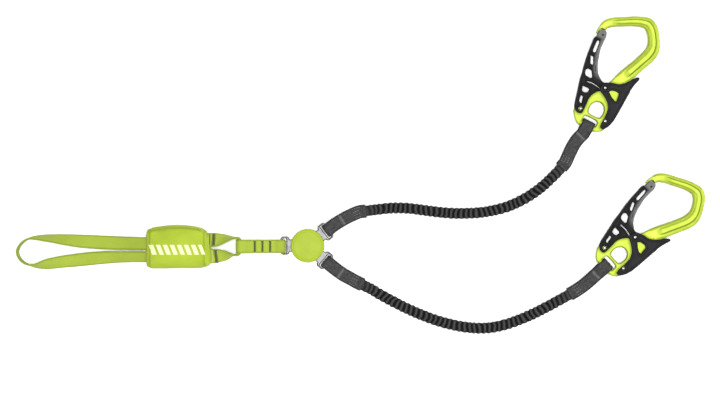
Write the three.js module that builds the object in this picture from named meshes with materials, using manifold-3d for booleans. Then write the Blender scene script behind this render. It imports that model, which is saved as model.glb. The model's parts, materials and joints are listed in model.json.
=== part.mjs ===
// Via ferrata lanyard set, lying relaxed on a flat surface: a tie-in loop, an energy absorber folded
// in its pouch, a swivel, two elastic arms and two palm-lever carabiners.
// Millimetres, +Z up. The origin is the centre of the swivel's flat base; +X runs to the carabiners.

import * as THREE from 'three';
import { mergeVertices } from 'three/addons/utils/BufferGeometryUtils.js';
import Module from 'manifold-3d';

const wasm = await Module();
wasm.setup();

// ---------------------------------------------------------------- driving dimensions

const GAP = 0.3;                    // clearance kept between neighbouring pieces
const TAPE_THICK = 2.3;
const LOOP_TAPE = 16;               // width of the lime tape
const END_LOOP_TAPE = 15;           // width of the absorber's end loop
const ARM_TAPE = 15.4;              // width of the arms' folded ends

const ELASTIC = { halfWidth: 6.25, halfThick: 4.1, level: 4.6, wall: 1.8, sides: 10, steps: 16 };

const SWIVEL = {
  radius: 19,
  axleRadius: 4,
  baseTop: 3.9,
  topLow: 13.5,
  height: 17,
  rim: 1.6,
  lugThick: 2.2,
  lugBottoms: { left: 4.2, upper: 7.6, lower: 11.0 },
  washerThick: 0.6,
  washerRadius: 9,
};
const LUG = { barIn: 28.1, barOut: 31.3, slotIn: 24.5, ringIn: 20.9, width: 21, slotWidth: 17.2, disc: 13 };

const POUCH = { left: -184, right: -111, low: -25.3, high: 23.5, height: 27, wall: 1.6, round: 7 };
const WEBBING = { left: -172, right: -122, low: -17, high: 15, bottom: 5, layers: 6, pitch: 2.8 };

// Carabiner, in its own plane: x from the gate rivet to the lever rivet, y to the top of the basket.
const MID_LEVEL = 7.5;              // height of the carabiners' middle plane
const BAR_HALF = 5.2;               // half thickness of the forged spine
const PLATE_HALF = 3.6;             // half thickness of the body's lower plate
const FORK = { inner: 3.9, outer: 5.4 };
const LEVER = { inner: 5.7, outer: 7.5 };
const GATE_RIVET = [0, 0];
const LEVER_RIVET = [31.6, 0];
const LOCK_STUD = [14.3, 34];
const RIVET_RADIUS = 1.9;
const TAPE_BAR = { x: 16.4, y: -13.5, radius: 3.5 };
const TAPE_SLOT = { left: 7.9, right: 25.2, top: -4, bottom: -17.6 };

// Middle line of the spine from the nose round the top to the plate: x, y, width.
const SPINE = [
  [-19.5, 94.5, 8], [-17.5, 100, 9.5], [-11.5, 105.8, 10.3], [-2, 111.3, 10.4], [8.5, 117.3, 10.7],
  [18, 121.3, 11.6], [25.5, 122.4, 13.2], [32.3, 118.5, 13.2], [37.8, 111.5, 12.8], [41.8, 104.5, 13.6],
  [43.5, 97.5, 15], [42.5, 89.8, 15], [39.3, 81, 14.6], [35.8, 72.3, 14.6], [32.5, 64.3, 15],
  [29, 56, 15], [26.4, 49.2, 15],
];
const PLATE_OUTLINE = [
  [-4.4, -2], [-5.8, -4.5], [-3, -9.5], [1, -14], [5, -16.4], [7.8, -17], [25.3, -16.2], [31, -14.2],
  [35, -10.5], [36.6, -5], [36.8, 0], [36.2, 8], [35, 16], [34, 25], [32.4, 36], [31.4, 43], [32, 48],
  [26, 54], [20.5, 53], [17, 44], [13.5, 38], [9, 31.5], [5.5, 27], [3, 22], [2, 15], [1.4, 8], [1.2, 4],
];
const EYE_HOLE = [
  [9, 6], [10.2, 11.8], [13.2, 15.4], [17.6, 16.6], [22.4, 15], [25.4, 11], [26, 5], [24.4, 0.6],
  [17.5, -0.5], [10.6, 0.6],
];
const GATE_OUTLINE = [
  [-5, -3.5], [-2.5, -5.3], [1, -5.5], [3.8, -4], [4.3, 0], [4, 8], [3.6, 14], [4.5, 19], [6.5, 23],
  [9, 26.5], [13, 29], [17, 31], [18.6, 34.5], [17, 38.2], [13, 39.4], [9, 39], [5, 41], [1, 44],
  [-2, 48], [-6, 56], [-8.5, 64], [-10.5, 72], [-11, 80], [-11.5, 88], [-14, 92.5], [-19, 92.5],
  [-21.2, 90], [-21.3, 82.6], [-22.6, 81], [-22, 70], [-21, 60], [-19.5, 50], [-17.3, 40],
  [-15.5, 30], [-12.8, 20], [-10.2, 10], [-7.8, 2],
];
const FORK_VOID = [
  [-30, -10], [40, -10], [40, 54], [-12, 54], [-16.4, 48], [-14.6, 40], [-12.8, 30], [-10.1, 20],
  [-7.5, 10], [-8.5, 5], [-30, 5],
];
const GATE_HOLES = [
  [[-18, 77], [-17.4, 79.5], [-15.8, 79.5], [-15, 77], [-14, 67], [-14.6, 65], [-16.6, 65], [-17.4, 67]],
  [[-17, 60], [-14, 60.5], [-9.6, 52], [-12.8, 51.2]],
  [[-14.4, 42.4], [-12.4, 45.4], [-8, 45], [-4, 38.6], [-6, 36.8], [-11, 36.8], [-13.2, 38.4]],
  [[-9, 25], [-0.6, 25.2], [-1.2, 20.8], [-4, 19], [-7.6, 19.4]],
  [[-6, 14], [-3.6, 14.4], [-1.6, 7.4], [-3, 6], [-4.8, 7.4]],
];
const LATCH_SLOT = { radius: 32.4, width: 1.8, to: 103, legHalf: 3, legEnd: 39 };   // angles in degrees
const LEVER_OUTLINE = [
  [10, 28.4], [15, 26], [21, 22.5], [25, 19], [28, 14], [29, 8], [29.3, 0], [29.2, -6], [30.5, -9.5],
  [34, -9.5], [37, -6], [39.5, 0], [41, 12], [41.5, 25], [41.7, 35], [42, 45], [43, 52], [44.8, 59],
  [45, 61.6], [42.5, 62], [38, 57], [34.5, 52], [31, 48], [27, 45], [20, 43], [15, 41], [11, 38.8],
  [9.3, 35], [9.1, 31],
];
const LEVER_WINDOW = [
  [20.4, 32], [23, 34.6], [28, 35.6], [31.6, 35], [32.6, 31], [33.4, 25.6], [30, 26], [26, 28],
];
const LEVER_WEB = [
  [39.8, 2], [41, 12], [41.5, 25], [41.7, 35], [41.9, 43], [39.6, 43], [39.4, 35], [39.2, 25],
  [38.7, 12], [37.6, 2],
];

// The two arms: each runs from its lug on the swivel over a folded tape end, the elastic tube and a
// second folded end to the tape bar of its carabiner.
const ARMS = {
  upper: {
    lugAngle: 38,
    pivot: [313.4, 157.7],
    turn: -27.2,
    firstFold: [[41.9, 30.8], [52, 35.8]],
    elastic: [
      [64.5, 39.5], [79.1, 41.5], [97.9, 43.3], [117, 42.9], [138.9, 40.1], [160.9, 37.6], [183, 37.2],
      [204.9, 38.9], [227, 43.8], [239.3, 48.6], [254.7, 56.8], [270.1, 67.9], [283.5, 80.4],
      [289.3, 86.4], [293.7, 91.9],
    ],
    lastFold: [[301, 105.2], [306.4, 116.2], [311.6, 123.4], [317, 128.9]],
  },
  lower: {
    lugAngle: -40,
    pivot: [341.2, -2.5],
    turn: -47.5,
    firstFold: [[40, -32.6], [49, -37.8]],
    elastic: [
      [60.8, -44.05], [72.9, -50.1], [83.3, -56.2], [99.4, -64.9], [115.5, -73], [131.7, -80],
      [147.8, -86], [164, -90.5], [180.1, -93.7], [196.2, -95.2], [212.3, -94.3], [228.5, -90.8],
      [244.6, -85.2], [260.7, -78.2], [276.9, -70], [293, -61.2], [303.8, -55],
    ],
    lastFold: [[315, -47.9], [323, -41.4], [330.6, -34.5]],
  },
};

// Tie-in loop, from the pouch along the upper leg, round the far end and back: x, y, z, and the
// tape's tilt in degrees (0 lies flat, 90 stands on its edge).
const TIE_IN_LOOP = [
  [-176, 2.4, 13.5, 26], [-190, 2.5, 12.6, 28], [-210, 2.9, 9.6, 22], [-231, 3.5, 6.6, 15],
  [-250, 4.5, 5.4, 18], [-266, 5.6, 5.6, 28], [-280, 6.9, 6.6, 42], [-292, 8.1, 7.6, 55],
  [-303, 8.9, 8.1, 65], [-312, 9.2, 8.4, 76], [-319, 8.6, 8.5, 85], [-325.5, 5.6, 8.5, 90],
  [-330.5, 0.6, 8.5, 90], [-333.3, -5, 8.5, 90], [-333.3, -9.5, 8.5, 90], [-330.5, -15.2, 8.5, 90],
  [-325.5, -19.8, 8.5, 90], [-319, -22.6, 8.5, 84], [-312, -23.2, 8.4, 72], [-301, -21.4, 7.6, 46],
  [-285, -18.9, 6, 32], [-266, -16.7, 5, 22], [-248, -14.8, 5.2, 20], [-231, -13.5, 7, 28],
  [-213, -12.8, 10, 36], [-190, -12.6, 12.8, 40], [-176, -12.6, 13.5, 40],
];

// The absorber's end loop, from the pouch round the connecting loop's eye and back.
const END_LOOP = [
  [-119.5, 6.8, 13.6, 6], [-112, 6.6, 13.4, 8], [-107, 6.5, 12.8, 22], [-100, 7, 11.8, 52],
  [-92, 8, 10.9, 76], [-85, 8.7, 10.3, 90], [-80.4, 8.8, 10.2, 90], [-78.9, 8.3, 10.2, 90],
  [-78.1, 6.8, 10.2, 90], [-78, 2, 10.2, 90], [-78, -4, 10.2, 90], [-78.1, -8.6, 10.2, 90],
  [-78.9, -10.1, 10.2, 90], [-80.4, -10.6, 10.2, 90], [-85, -10.7, 10.3, 88], [-92, -11.1, 11, 64],
  [-100, -11.4, 12, 36], [-107, -11.8, 12.8, 14], [-112, -12, 13.4, 8], [-119.5, -12.2, 13.6, 6],
];

// Connecting loop, seen from the side (x, z): an eye round the end loop, two sewn layers, an eye
// round the swivel's left lug.
const CONNECTING = {
  middleY: -0.8,
  width: 15.4,
  outline: [
    [-81.8, 3], [-80, 0.4], [-74.4, 0.1], [-62, 6.3], [-37, 3], [-33.5, 1.6], [-27, 1.6], [-25.5, 3.1],
    [-25.5, 7.5], [-27, 9], [-33.5, 9], [-37, 7.6], [-62, 10.9], [-74.4, 20.3], [-80, 20], [-81.8, 17.4],
  ],
  endEye: [[-79.5, 2.4], [-75, 2.4], [-64.5, 8.4], [-64.5, 8.9], [-75, 18], [-79.5, 18]],
  lugEye: [[-31.6, 3.9], [-27.8, 3.9], [-27.8, 6.7], [-31.6, 6.7]],
};

// ---------------------------------------------------------------- materials

const finish = (color, roughness, metalness) => new THREE.MeshStandardMaterial({ color, roughness, metalness });
const MATERIALS = {
  limeMetal: finish(0xb7e032, 0.32, 0.55),
  limeTape: finish(0xa4d02a, 0.85, 0),
  limeFabric: finish(0x9ccb22, 0.8, 0),
  limePlastic: finish(0xa6d62c, 0.45, 0),
  blackPlastic: finish(0x2b2c2e, 0.5, 0),
  darkTape: finish(0x3b3c3e, 0.9, 0),
  elasticWeave: finish(0x46474a, 0.92, 0),
  rubber: finish(0x1e1e1f, 0.9, 0),
  steel: finish(0xb9bcc0, 0.3, 1),
  whiteWebbing: finish(0xe6e4dd, 0.9, 0),
};

// ---------------------------------------------------------------- geometry helpers

const UP = new THREE.Vector3(0, 0, 1);
const radians = THREE.MathUtils.degToRad;

// A manifold solid from any closed three.js geometry.
function solid(geometry) {
  const bare = geometry.clone();
  bare.deleteAttribute('normal');
  bare.deleteAttribute('uv');
  const merged = mergeVertices(bare, 1e-4);
  const corners = merged.index.array;
  const kept = [];
  for (let i = 0; i < corners.length; i += 3) {
    const [a, b, c] = corners.slice(i, i + 3);
    if (a !== b && b !== c && c !== a) kept.push(a, b, c);
  }
  return new wasm.Manifold(new wasm.Mesh({
    numProp: 3,
    vertProperties: new Float32Array(merged.attributes.position.array),
    triVerts: new Uint32Array(kept),
  }));
}

function geometryOf(manifold) {
  const mesh = manifold.getMesh();
  const geometry = new THREE.BufferGeometry();
  geometry.setAttribute('position', new THREE.BufferAttribute(mesh.vertProperties, 3));
  geometry.setIndex(new THREE.BufferAttribute(mesh.triVerts, 1));
  geometry.computeVertexNormals();
  return geometry;
}

function extruded(outline, holes, options) {
  const shape = new THREE.Shape(outline.map(([x, y]) => new THREE.Vector2(x, y)));
  shape.holes = holes.map((hole) => new THREE.Path(hole.map(([x, y]) => new THREE.Vector2(x, y))));
  return new THREE.ExtrudeGeometry(shape, { bevelEnabled: false, ...options });
}

function slab(outline, low, high, holes = []) {
  return solid(extruded(outline, holes, { depth: high - low }).translate(0, 0, low));
}

function block([x0, y0, z0], [x1, y1, z1]) {
  const box = new THREE.BoxGeometry(x1 - x0, y1 - y0, z1 - z0);
  return solid(box.translate((x0 + x1) / 2, (y0 + y1) / 2, (z0 + z1) / 2));
}

function circle([cx, cy], radius, sides = 16) {
  return Array.from({ length: sides }, (_, i) => {
    const angle = (2 * Math.PI * (i + 0.5)) / sides;
    return [cx + radius * Math.cos(angle), cy + radius * Math.sin(angle)];
  });
}

// A closed outline through the points, rounded.
function rounded(points, count) {
  const curve = new THREE.CatmullRomCurve3(points.map(([x, y]) => new THREE.Vector3(x, y, 0)), true);
  return curve.getPoints(count).slice(0, -1).map(({ x, y }) => [x, y]);
}

// A solid of revolution about Z from a profile of [radius, z] that starts and ends on the axis.
function turned(profile, segments) {
  const points = profile.map(([radius, z]) => new THREE.Vector2(radius, z));
  return solid(new THREE.LatheGeometry(points, segments).rotateX(Math.PI / 2));
}

// A flat tape through stations of [x, y, z, tilt]. side is 1 where the outside of the bend is on
// the right of the direction of travel, and -1 where it is on the left.
function tapeAlong(stations, width, thick, side = 1) {
  const curve = new THREE.CatmullRomCurve3(stations.map(([x, y, z]) => new THREE.Vector3(x, y, z)));
  const positions = [];
  stations.forEach(([x, y, z, tilt = 0], i) => {
    const along = curve.getTangent(i / (stations.length - 1));
    const outward = new THREE.Vector3(along.y, -along.x, 0).normalize().multiplyScalar(side);
    const across = outward.multiplyScalar(Math.cos(radians(tilt)));
    across.addScaledVector(UP, -Math.sin(radians(tilt)));
    const through = across.clone().cross(along).normalize();
    for (const [a, b] of [[-1, -1], [1, -1], [1, 1], [-1, 1]]) {
      const corner = new THREE.Vector3(x, y, z);
      corner.addScaledVector(across, (a * width) / 2).addScaledVector(through, (b * thick) / 2);
      positions.push(corner.x, corner.y, corner.z);
    }
  });
  const geometry = new THREE.BufferGeometry();
  geometry.setAttribute('position', new THREE.Float32BufferAttribute(positions, 3));
  geometry.setIndex(bandFaces(stations.length));
  geometry.computeVertexNormals();
  return geometry;
}

// Triangles of a closed band of four-cornered sections.
function bandFaces(sections) {
  const faces = [0, 1, 2, 0, 2, 3];
  const last = 4 * (sections - 1);
  faces.push(last, last + 2, last + 1, last, last + 3, last + 2);
  for (let section = 0; section < sections - 1; section += 1) {
    for (let corner = 0; corner < 4; corner += 1) {
      const a = 4 * section + corner;
      const b = 4 * section + ((corner + 1) % 4);
      faces.push(a, a + 4, b + 4, a, b + 4, b);
    }
  }
  return faces;
}

// Turns a geometry inside out where its triangles face inwards.
function facingOut(geometry) {
  const place = geometry.attributes.position;
  const faces = geometry.index;
  const [a, b, c] = [new THREE.Vector3(), new THREE.Vector3(), new THREE.Vector3()];
  let volume = 0;
  for (let i = 0; i < faces.count; i += 3) {
    a.fromBufferAttribute(place, faces.getX(i));
    b.fromBufferAttribute(place, faces.getX(i + 1));
    c.fromBufferAttribute(place, faces.getX(i + 2));
    volume += a.dot(b.cross(c));
  }
  if (volume < 0) geometry.index.array.reverse();
  return geometry;
}

function tapeSolid(stations, width, thick, side) {
  return solid(facingOut(tapeAlong(stations, width, thick, side)));
}

// ---------------------------------------------------------------- absorber side

function pouchBlock(inset) {
  const { left, right, low, high, height, round } = POUCH;
  const corner = round - inset;
  const [x0, x1] = [left + inset + corner, right - inset - corner];
  const [y0, y1] = [low + inset + corner, high - inset - corner];
  const outline = [[x0, y0], [x1, y0], [x1, y1], [x0, y1]];
  const depth = height - 2 * inset - 2 * corner;
  const rim = { depth, bevelEnabled: true, bevelThickness: corner, bevelSize: corner, bevelSegments: 4 };
  return solid(extruded(outline, [], rim).translate(0, 0, inset + corner));
}

function pouchShell(low, high) {
  const { left, right, height, wall } = POUCH;
  const half = block([left - 1, -40, low], [right + 1, 40, high]);
  const tapeWays = block([left - 1, -21, 4.5], [right + 1, 16, height - 4.5]);
  return pouchBlock(0).intersect(half).subtract(pouchBlock(wall)).subtract(tapeWays);
}

// The tear webbing, laid back and forth in flat layers.
function absorberWebbing() {
  const { left, right, low, high, bottom, layers, pitch } = WEBBING;
  const layerAt = (i) => bottom + i * pitch;
  let webbing = block([left, low, layerAt(0)], [right, high, layerAt(0) + TAPE_THICK]);
  for (let i = 1; i < layers; i += 1) {
    const turnAt = i % 2 ? right - TAPE_THICK : left;
    const turn = block([turnAt, low, layerAt(i - 1)], [turnAt + TAPE_THICK, high, layerAt(i) + TAPE_THICK]);
    const layer = block([left, low, layerAt(i)], [right, high, layerAt(i) + TAPE_THICK]);
    webbing = webbing.add(turn).add(layer);
  }
  return webbing;
}

function connectingLoop() {
  const { outline, endEye, lugEye, middleY, width } = CONNECTING;
  const side = extruded(outline, [endEye, lugEye], { depth: width });
  return solid(side.rotateX(Math.PI / 2).translate(0, middleY + width / 2, 0));
}

// ---------------------------------------------------------------- swivel

function swivelBase() {
  const { radius, baseTop, rim, axleRadius } = SWIVEL;
  const floor = 1.5;
  return turned([
    [0, 0], [radius - rim, 0], [radius - 0.5, 0.5], [radius, rim], [radius, baseTop],
    [axleRadius + GAP, baseTop], [axleRadius + GAP, floor], [0, floor],
  ], 40);
}

function swivelTop() {
  const { radius, topLow, height, rim, axleRadius } = SWIVEL;
  const ceiling = height - 1.5;
  return turned([
    [0, ceiling], [axleRadius + GAP, ceiling], [axleRadius + GAP, topLow], [radius, topLow],
    [radius, height - rim - 0.6], [radius - 0.5, height - 1], [radius - rim - 0.4, height - 0.2],
    [radius - 4, height], [0, height],
  ], 40);
}

function swivelAxle() {
  const { axleRadius, height } = SWIVEL;
  return turned([[0, 1.8], [axleRadius, 1.8], [axleRadius, height - 1.8], [0, height - 1.8]], 20);
}

function swivelWasher(lugBelow) {
  const { axleRadius, washerRadius, washerThick, lugThick, lugBottoms } = SWIVEL;
  const bottom = lugBottoms[lugBelow] + lugThick + GAP;
  return slab(circle([0, 0], washerRadius, 24), bottom, bottom + washerThick, [circle([0, 0], axleRadius + GAP)]);
}

// A lug lies along +X from the axle and is turned to its own angle.
function lug(name, degrees) {
  const { barOut, barIn, slotIn, ringIn, width, slotWidth, disc } = LUG;
  const half = width / 2;
  const corner = 3.2;
  const ring = [
    [ringIn, -half + corner], [ringIn + corner, -half], [barOut - corner, -half], [barOut - 0.9, -half + 0.9],
    [barOut, -half + corner], [barOut, half - corner], [barOut - 0.9, half - 0.9], [barOut - corner, half],
    [ringIn + corner, half], [ringIn, half - corner],
  ];
  const slotHalf = slotWidth / 2;
  const slot = [[slotIn, -slotHalf], [barIn, -slotHalf], [barIn, slotHalf], [slotIn, slotHalf]];
  const low = SWIVEL.lugBottoms[name];
  const high = low + SWIVEL.lugThick;
  const neck = [[0, -7], [ringIn + 1, -7], [ringIn + 1, 7], [0, 7]];
  return slab(circle([0, 0], disc, 28), low, high)
    .add(slab(neck, low, high))
    .add(slab(ring, low, high, [slot]))
    .subtract(slab(circle([0, 0], SWIVEL.axleRadius + GAP), low - 1, high + 1))
    .rotate([0, 0, degrees]);
}

// ---------------------------------------------------------------- arms

// The folded tape end round a lug's outer bar, then the two sewn layers along the first fold.
function swivelFold(name) {
  const { lugAngle, firstFold } = ARMS[name];
  const level = SWIVEL.lugBottoms[name] + SWIVEL.lugThick / 2;
  const [barLow, barHigh] = [LUG.barIn - GAP, LUG.barOut + GAP];
  const clear = SWIVEL.lugThick / 2 + GAP;
  const outer = clear + TAPE_THICK;
  const back = barLow - TAPE_THICK;
  const reach = barHigh + 6;
  const profile = [
    [back, -outer + 1.5], [back + 1.5, -outer], [barHigh + 2, -outer], [reach, -TAPE_THICK],
    [reach, TAPE_THICK], [barHigh + 2, outer], [back + 1.5, outer], [back, outer - 1.5],
  ];
  const hole = [[barLow, -clear], [barHigh, -clear], [barHigh, clear], [barLow, clear]];
  const eye = extruded(profile, [hole], { depth: ARM_TAPE })
    .translate(0, 0, -ARM_TAPE / 2)
    .rotateX(Math.PI / 2)
    .rotateZ(radians(lugAngle))
    .translate(0, 0, level);
  const start = (distance) => [
    distance * Math.cos(radians(lugAngle)), distance * Math.sin(radians(lugAngle)), level,
  ];
  const drop = level - ELASTIC.level;
  const middle = firstFold.map(([x, y], i) => [x, y, level - (drop * (i + 1)) / firstFold.length]);
  const tape = [start(reach - 3), start(reach), ...middle, beyondElastic(name, 0, 5), beyondElastic(name, 0, GAP)];
  return solid(eye).add(tapeSolid(tape, ARM_TAPE, 2 * TAPE_THICK));
}

function elasticSection(halfThick, halfWidth, sides) {
  return circle([0, 0], 1, sides).map(([x, y]) => [x * halfThick, y * halfWidth]);
}

function elasticRoute(name) {
  const { level } = ELASTIC;
  return new THREE.CatmullRomCurve3(ARMS[name].elastic.map(([x, y]) => new THREE.Vector3(x, y, level)));
}

// A place straight off an end of the elastic: end is 0 at the swivel and 1 at the carabiner.
function beyondElastic(name, end, distance) {
  const route = elasticRoute(name);
  const outward = route.getTangent(end).multiplyScalar(end ? distance : -distance);
  return route.getPoint(end).add(outward).toArray();
}

function elasticSleeve(name) {
  const { halfThick, halfWidth, wall, sides, steps } = ELASTIC;
  const hole = elasticSection(halfThick - wall, halfWidth - wall, 8);
  const section = elasticSection(halfThick, halfWidth, sides);
  return extruded(section, [hole], { steps, extrudePath: elasticRoute(name) });
}

function elasticCore(name) {
  const { halfThick, halfWidth, wall, steps } = ELASTIC;
  const section = elasticSection(halfThick - wall - GAP - 0.1, halfWidth - wall - GAP - 0.1, 8);
  return extruded(section, [], { steps, extrudePath: elasticRoute(name) });
}

// The carabiner's place: its own plane laid level at the middle height.
function atCarabiner(name, x, y) {
  const { pivot, turn } = ARMS[name];
  const place = new THREE.Vector3(x, y, 0).applyAxisAngle(UP, radians(turn));
  return place.add(new THREE.Vector3(pivot[0], pivot[1], MID_LEVEL));
}

// The folded tape end round the carabiner's tape bar.
function carabinerFold(name) {
  const { turn, lastFold } = ARMS[name];
  const inner = TAPE_BAR.radius + 0.4;
  const outer = inner + TAPE_THICK;
  const reach = 12;
  const back = Array.from({ length: 9 }, (_, i) => {
    const angle = radians(60 + 30 * i);
    return [outer * Math.cos(angle), outer * Math.sin(angle)];
  });
  const profile = [...back, [reach, -TAPE_THICK], [reach, TAPE_THICK]];
  const bar = atCarabiner(name, TAPE_BAR.x, TAPE_BAR.y);
  const eye = extruded(profile, [circle([0, 0], inner, 14)], { depth: ARM_TAPE })
    .translate(0, 0, -ARM_TAPE / 2)
    .rotateX(Math.PI / 2)
    .rotateZ(radians(turn - 90))
    .translate(bar.x, bar.y, bar.z);
  const climb = MID_LEVEL - ELASTIC.level;
  const middle = lastFold.map(([x, y], i) => [x, y, ELASTIC.level + (climb * (i + 1)) / lastFold.length]);
  const last = atCarabiner(name, TAPE_BAR.x, TAPE_BAR.y - reach + 3).toArray();
  const tape = [beyondElastic(name, 1, GAP), beyondElastic(name, 1, 5), ...middle, last];
  return solid(eye).add(tapeSolid(tape, ARM_TAPE, 2 * TAPE_THICK));
}

// ---------------------------------------------------------------- carabiner

// An edge of the spine, a share of its width off the middle line: 0.5 outside, -0.5 inside.
function spineEdge(share, from = 0, to = 1, count = 36) {
  const curve = new THREE.CatmullRomCurve3(SPINE.map(([x, y, width]) => new THREE.Vector3(x, y, width)));
  return Array.from({ length: count + 1 }, (_, i) => {
    const t = from + ((to - from) * i) / count;
    const { x, y, z: width } = curve.getPoint(t);
    const along = curve.getTangent(t).setZ(0).normalize();
    return [x - along.y * width * share, y + along.x * width * share];
  });
}

function spineBand(outside, inside, from, to, count) {
  return [...spineEdge(outside, from, to, count), ...spineEdge(inside, from, to, count).reverse()];
}

function springRecess([x, y]) {
  return slab(circle([x, y], 4.3, 16), 1.3, PLATE_HALF + 1, [circle([x, y], 2.5, 16)]);
}

function carabinerBody() {
  const { left, right, top, bottom } = TAPE_SLOT;
  const nose = [[-24, 83], [-21.7, 83], [-21.7, 93.6], [-19, 97], [-23.2, 97]];
  const groove = spineBand(0.16, -0.16, 0.1, 0.93, 24);
  const bar = new THREE.CylinderGeometry(TAPE_BAR.radius, TAPE_BAR.radius, right - left + 1, 14);
  bar.rotateZ(Math.PI / 2).translate((left + right) / 2, TAPE_BAR.y, 0);
  const hole = (at) => slab(circle(at, RIVET_RADIUS + GAP), -PLATE_HALF - 1, PLATE_HALF + 1);
  const slot = [[left, bottom], [right, bottom], [right, top], [left, top]];
  return slab(PLATE_OUTLINE, -PLATE_HALF, PLATE_HALF)
    .add(slab(circle(GATE_RIVET, 5, 20), -PLATE_HALF, PLATE_HALF))
    .add(slab(circle(LEVER_RIVET, 5.2, 20), -PLATE_HALF, PLATE_HALF))
    .add(slab(spineBand(0.5, -0.5), -BAR_HALF, BAR_HALF))
    .add(slab(nose, -BAR_HALF + 0.6, BAR_HALF - 0.6))
    .subtract(slab(rounded(EYE_HOLE, 24), -8, 8))
    .subtract(slab(slot, -8, 8))
    .add(solid(bar))
    .subtract(hole(GATE_RIVET))
    .subtract(hole(LEVER_RIVET))
    .subtract(springRecess(GATE_RIVET))
    .subtract(springRecess(LEVER_RIVET))
    .subtract(slab(groove, PLATE_HALF, BAR_HALF + 1))
    .subtract(slab(groove, -BAR_HALF - 1, -PLATE_HALF));
}

// The slot in the gate's forks: an arc for the lock stud's travel, with a leg up to its locked place.
function latchSlot() {
  const { radius, width, to, legHalf, legEnd } = LATCH_SLOT;
  const at = (r, degrees) => [r * Math.cos(radians(degrees)), r * Math.sin(radians(degrees))];
  const locked = THREE.MathUtils.radToDeg(Math.atan2(LOCK_STUD[1], LOCK_STUD[0]));
  const from = locked - legHalf;
  const arc = (r) => Array.from({ length: 8 }, (_, i) => at(r, from + ((to - from) * i) / 7));
  const outline = [...arc(radius - width / 2), ...arc(radius + width / 2).reverse()];
  const leg = [at(radius, from), at(legEnd, from), at(legEnd, locked + legHalf), at(radius, locked + legHalf)];
  return slab(outline, -8, 8).add(slab(leg, -8, 8));
}

function gate() {
  let piece = slab(GATE_OUTLINE, -FORK.outer, FORK.outer)
    .subtract(slab(FORK_VOID, -FORK.inner, FORK.inner))
    .subtract(slab(circle(GATE_RIVET, RIVET_RADIUS + GAP), -8, 8))
    .subtract(slab(circle([-15.6, 87], 1.1, 8), -8, 8))
    .subtract(latchSlot());
  for (const hole of GATE_HOLES) piece = piece.subtract(slab(hole, -8, 8));
  return piece;
}

function lever() {
  const { inner, outer } = LEVER;
  const cheek = slab(LEVER_OUTLINE, inner, outer, [LEVER_WINDOW])
    .subtract(slab(circle(LEVER_RIVET, RIVET_RADIUS + GAP), 0, 8))
    .subtract(slab(circle(LOCK_STUD, RIVET_RADIUS + GAP), 0, 8));
  return cheek.add(cheek.mirror([0, 0, 1])).add(slab(LEVER_WEB, -inner - 0.5, inner + 0.5));
}

function rivet([x, y], low, high) {
  const chamfer = 0.3;
  const profile = [
    [0, low], [RIVET_RADIUS - chamfer, low], [RIVET_RADIUS, low + chamfer],
    [RIVET_RADIUS, high - chamfer], [RIVET_RADIUS - chamfer, high], [0, high],
  ];
  return turned(profile, 14).translate([x, y, 0]);
}

class Helix extends THREE.Curve {
  constructor(radius, low, high, turns) {
    super();
    Object.assign(this, { radius, low, high, turns });
  }

  getPoint(t) {
    const angle = 2 * Math.PI * this.turns * t;
    const height = this.low + (this.high - this.low) * t;
    return new THREE.Vector3(this.radius * Math.cos(angle), this.radius * Math.sin(angle), height);
  }
}

// A torsion spring lying in its recess round a rivet.
function torsionSpring([x, y]) {
  const wire = circle([0, 0], 0.28, 6);
  const coil = new Helix(3.4, 1.76, 3.2, 1.8);
  return extruded(wire, [], { steps: 44, extrudePath: coil }).translate(x, y, 0);
}

function carabiner(name) {
  const group = new THREE.Group();
  const studHigh = LEVER.outer - 0.1;
  const studLow = LEVER.inner + 0.1;
  group.add(
    mesh(`${name}_carabiner_body`, geometryOf(carabinerBody()), 'limeMetal'),
    mesh(`${name}_gate`, geometryOf(gate()), 'blackPlastic'),
    mesh(`${name}_lever`, geometryOf(lever()), 'blackPlastic'),
    mesh(`${name}_gate_rivet`, geometryOf(rivet(GATE_RIVET, -FORK.outer - 0.1, FORK.outer + 0.1)), 'steel'),
    mesh(`${name}_lever_rivet`, geometryOf(rivet(LEVER_RIVET, -studHigh, studHigh)), 'steel'),
    mesh(`${name}_lock_stud_front`, geometryOf(rivet(LOCK_STUD, studLow, studHigh)), 'steel'),
    mesh(`${name}_lock_stud_back`, geometryOf(rivet(LOCK_STUD, -studHigh, -studLow)), 'steel'),
    mesh(`${name}_gate_spring`, torsionSpring(GATE_RIVET), 'steel'),
    mesh(`${name}_lever_spring`, torsionSpring(LEVER_RIVET), 'steel'),
  );
  const { pivot, turn } = ARMS[name];
  group.position.set(pivot[0], pivot[1], MID_LEVEL);
  group.rotation.z = radians(turn);
  return group;
}

// ---------------------------------------------------------------- assembly

function mesh(name, geometry, material) {
  const piece = new THREE.Mesh(geometry, MATERIALS[material]);
  piece.name = name;
  return piece;
}

function absorberSide() {
  const group = new THREE.Group();
  const seam = POUCH.height / 2;
  group.add(
    mesh('tie_in_loop', facingOut(tapeAlong(TIE_IN_LOOP, LOOP_TAPE, TAPE_THICK)), 'limeTape'),
    mesh('pouch_bottom_shell', geometryOf(pouchShell(-1, seam - GAP / 2)), 'limeFabric'),
    mesh('pouch_top_shell', geometryOf(pouchShell(seam + GAP / 2, POUCH.height + 1)), 'limeFabric'),
    mesh('absorber_webbing', geometryOf(absorberWebbing()), 'whiteWebbing'),
    mesh('absorber_end_loop', facingOut(tapeAlong(END_LOOP, END_LOOP_TAPE, TAPE_THICK, -1)), 'limeTape'),
    mesh('connecting_loop', geometryOf(connectingLoop()), 'limeTape'),
  );
  return group;
}

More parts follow.
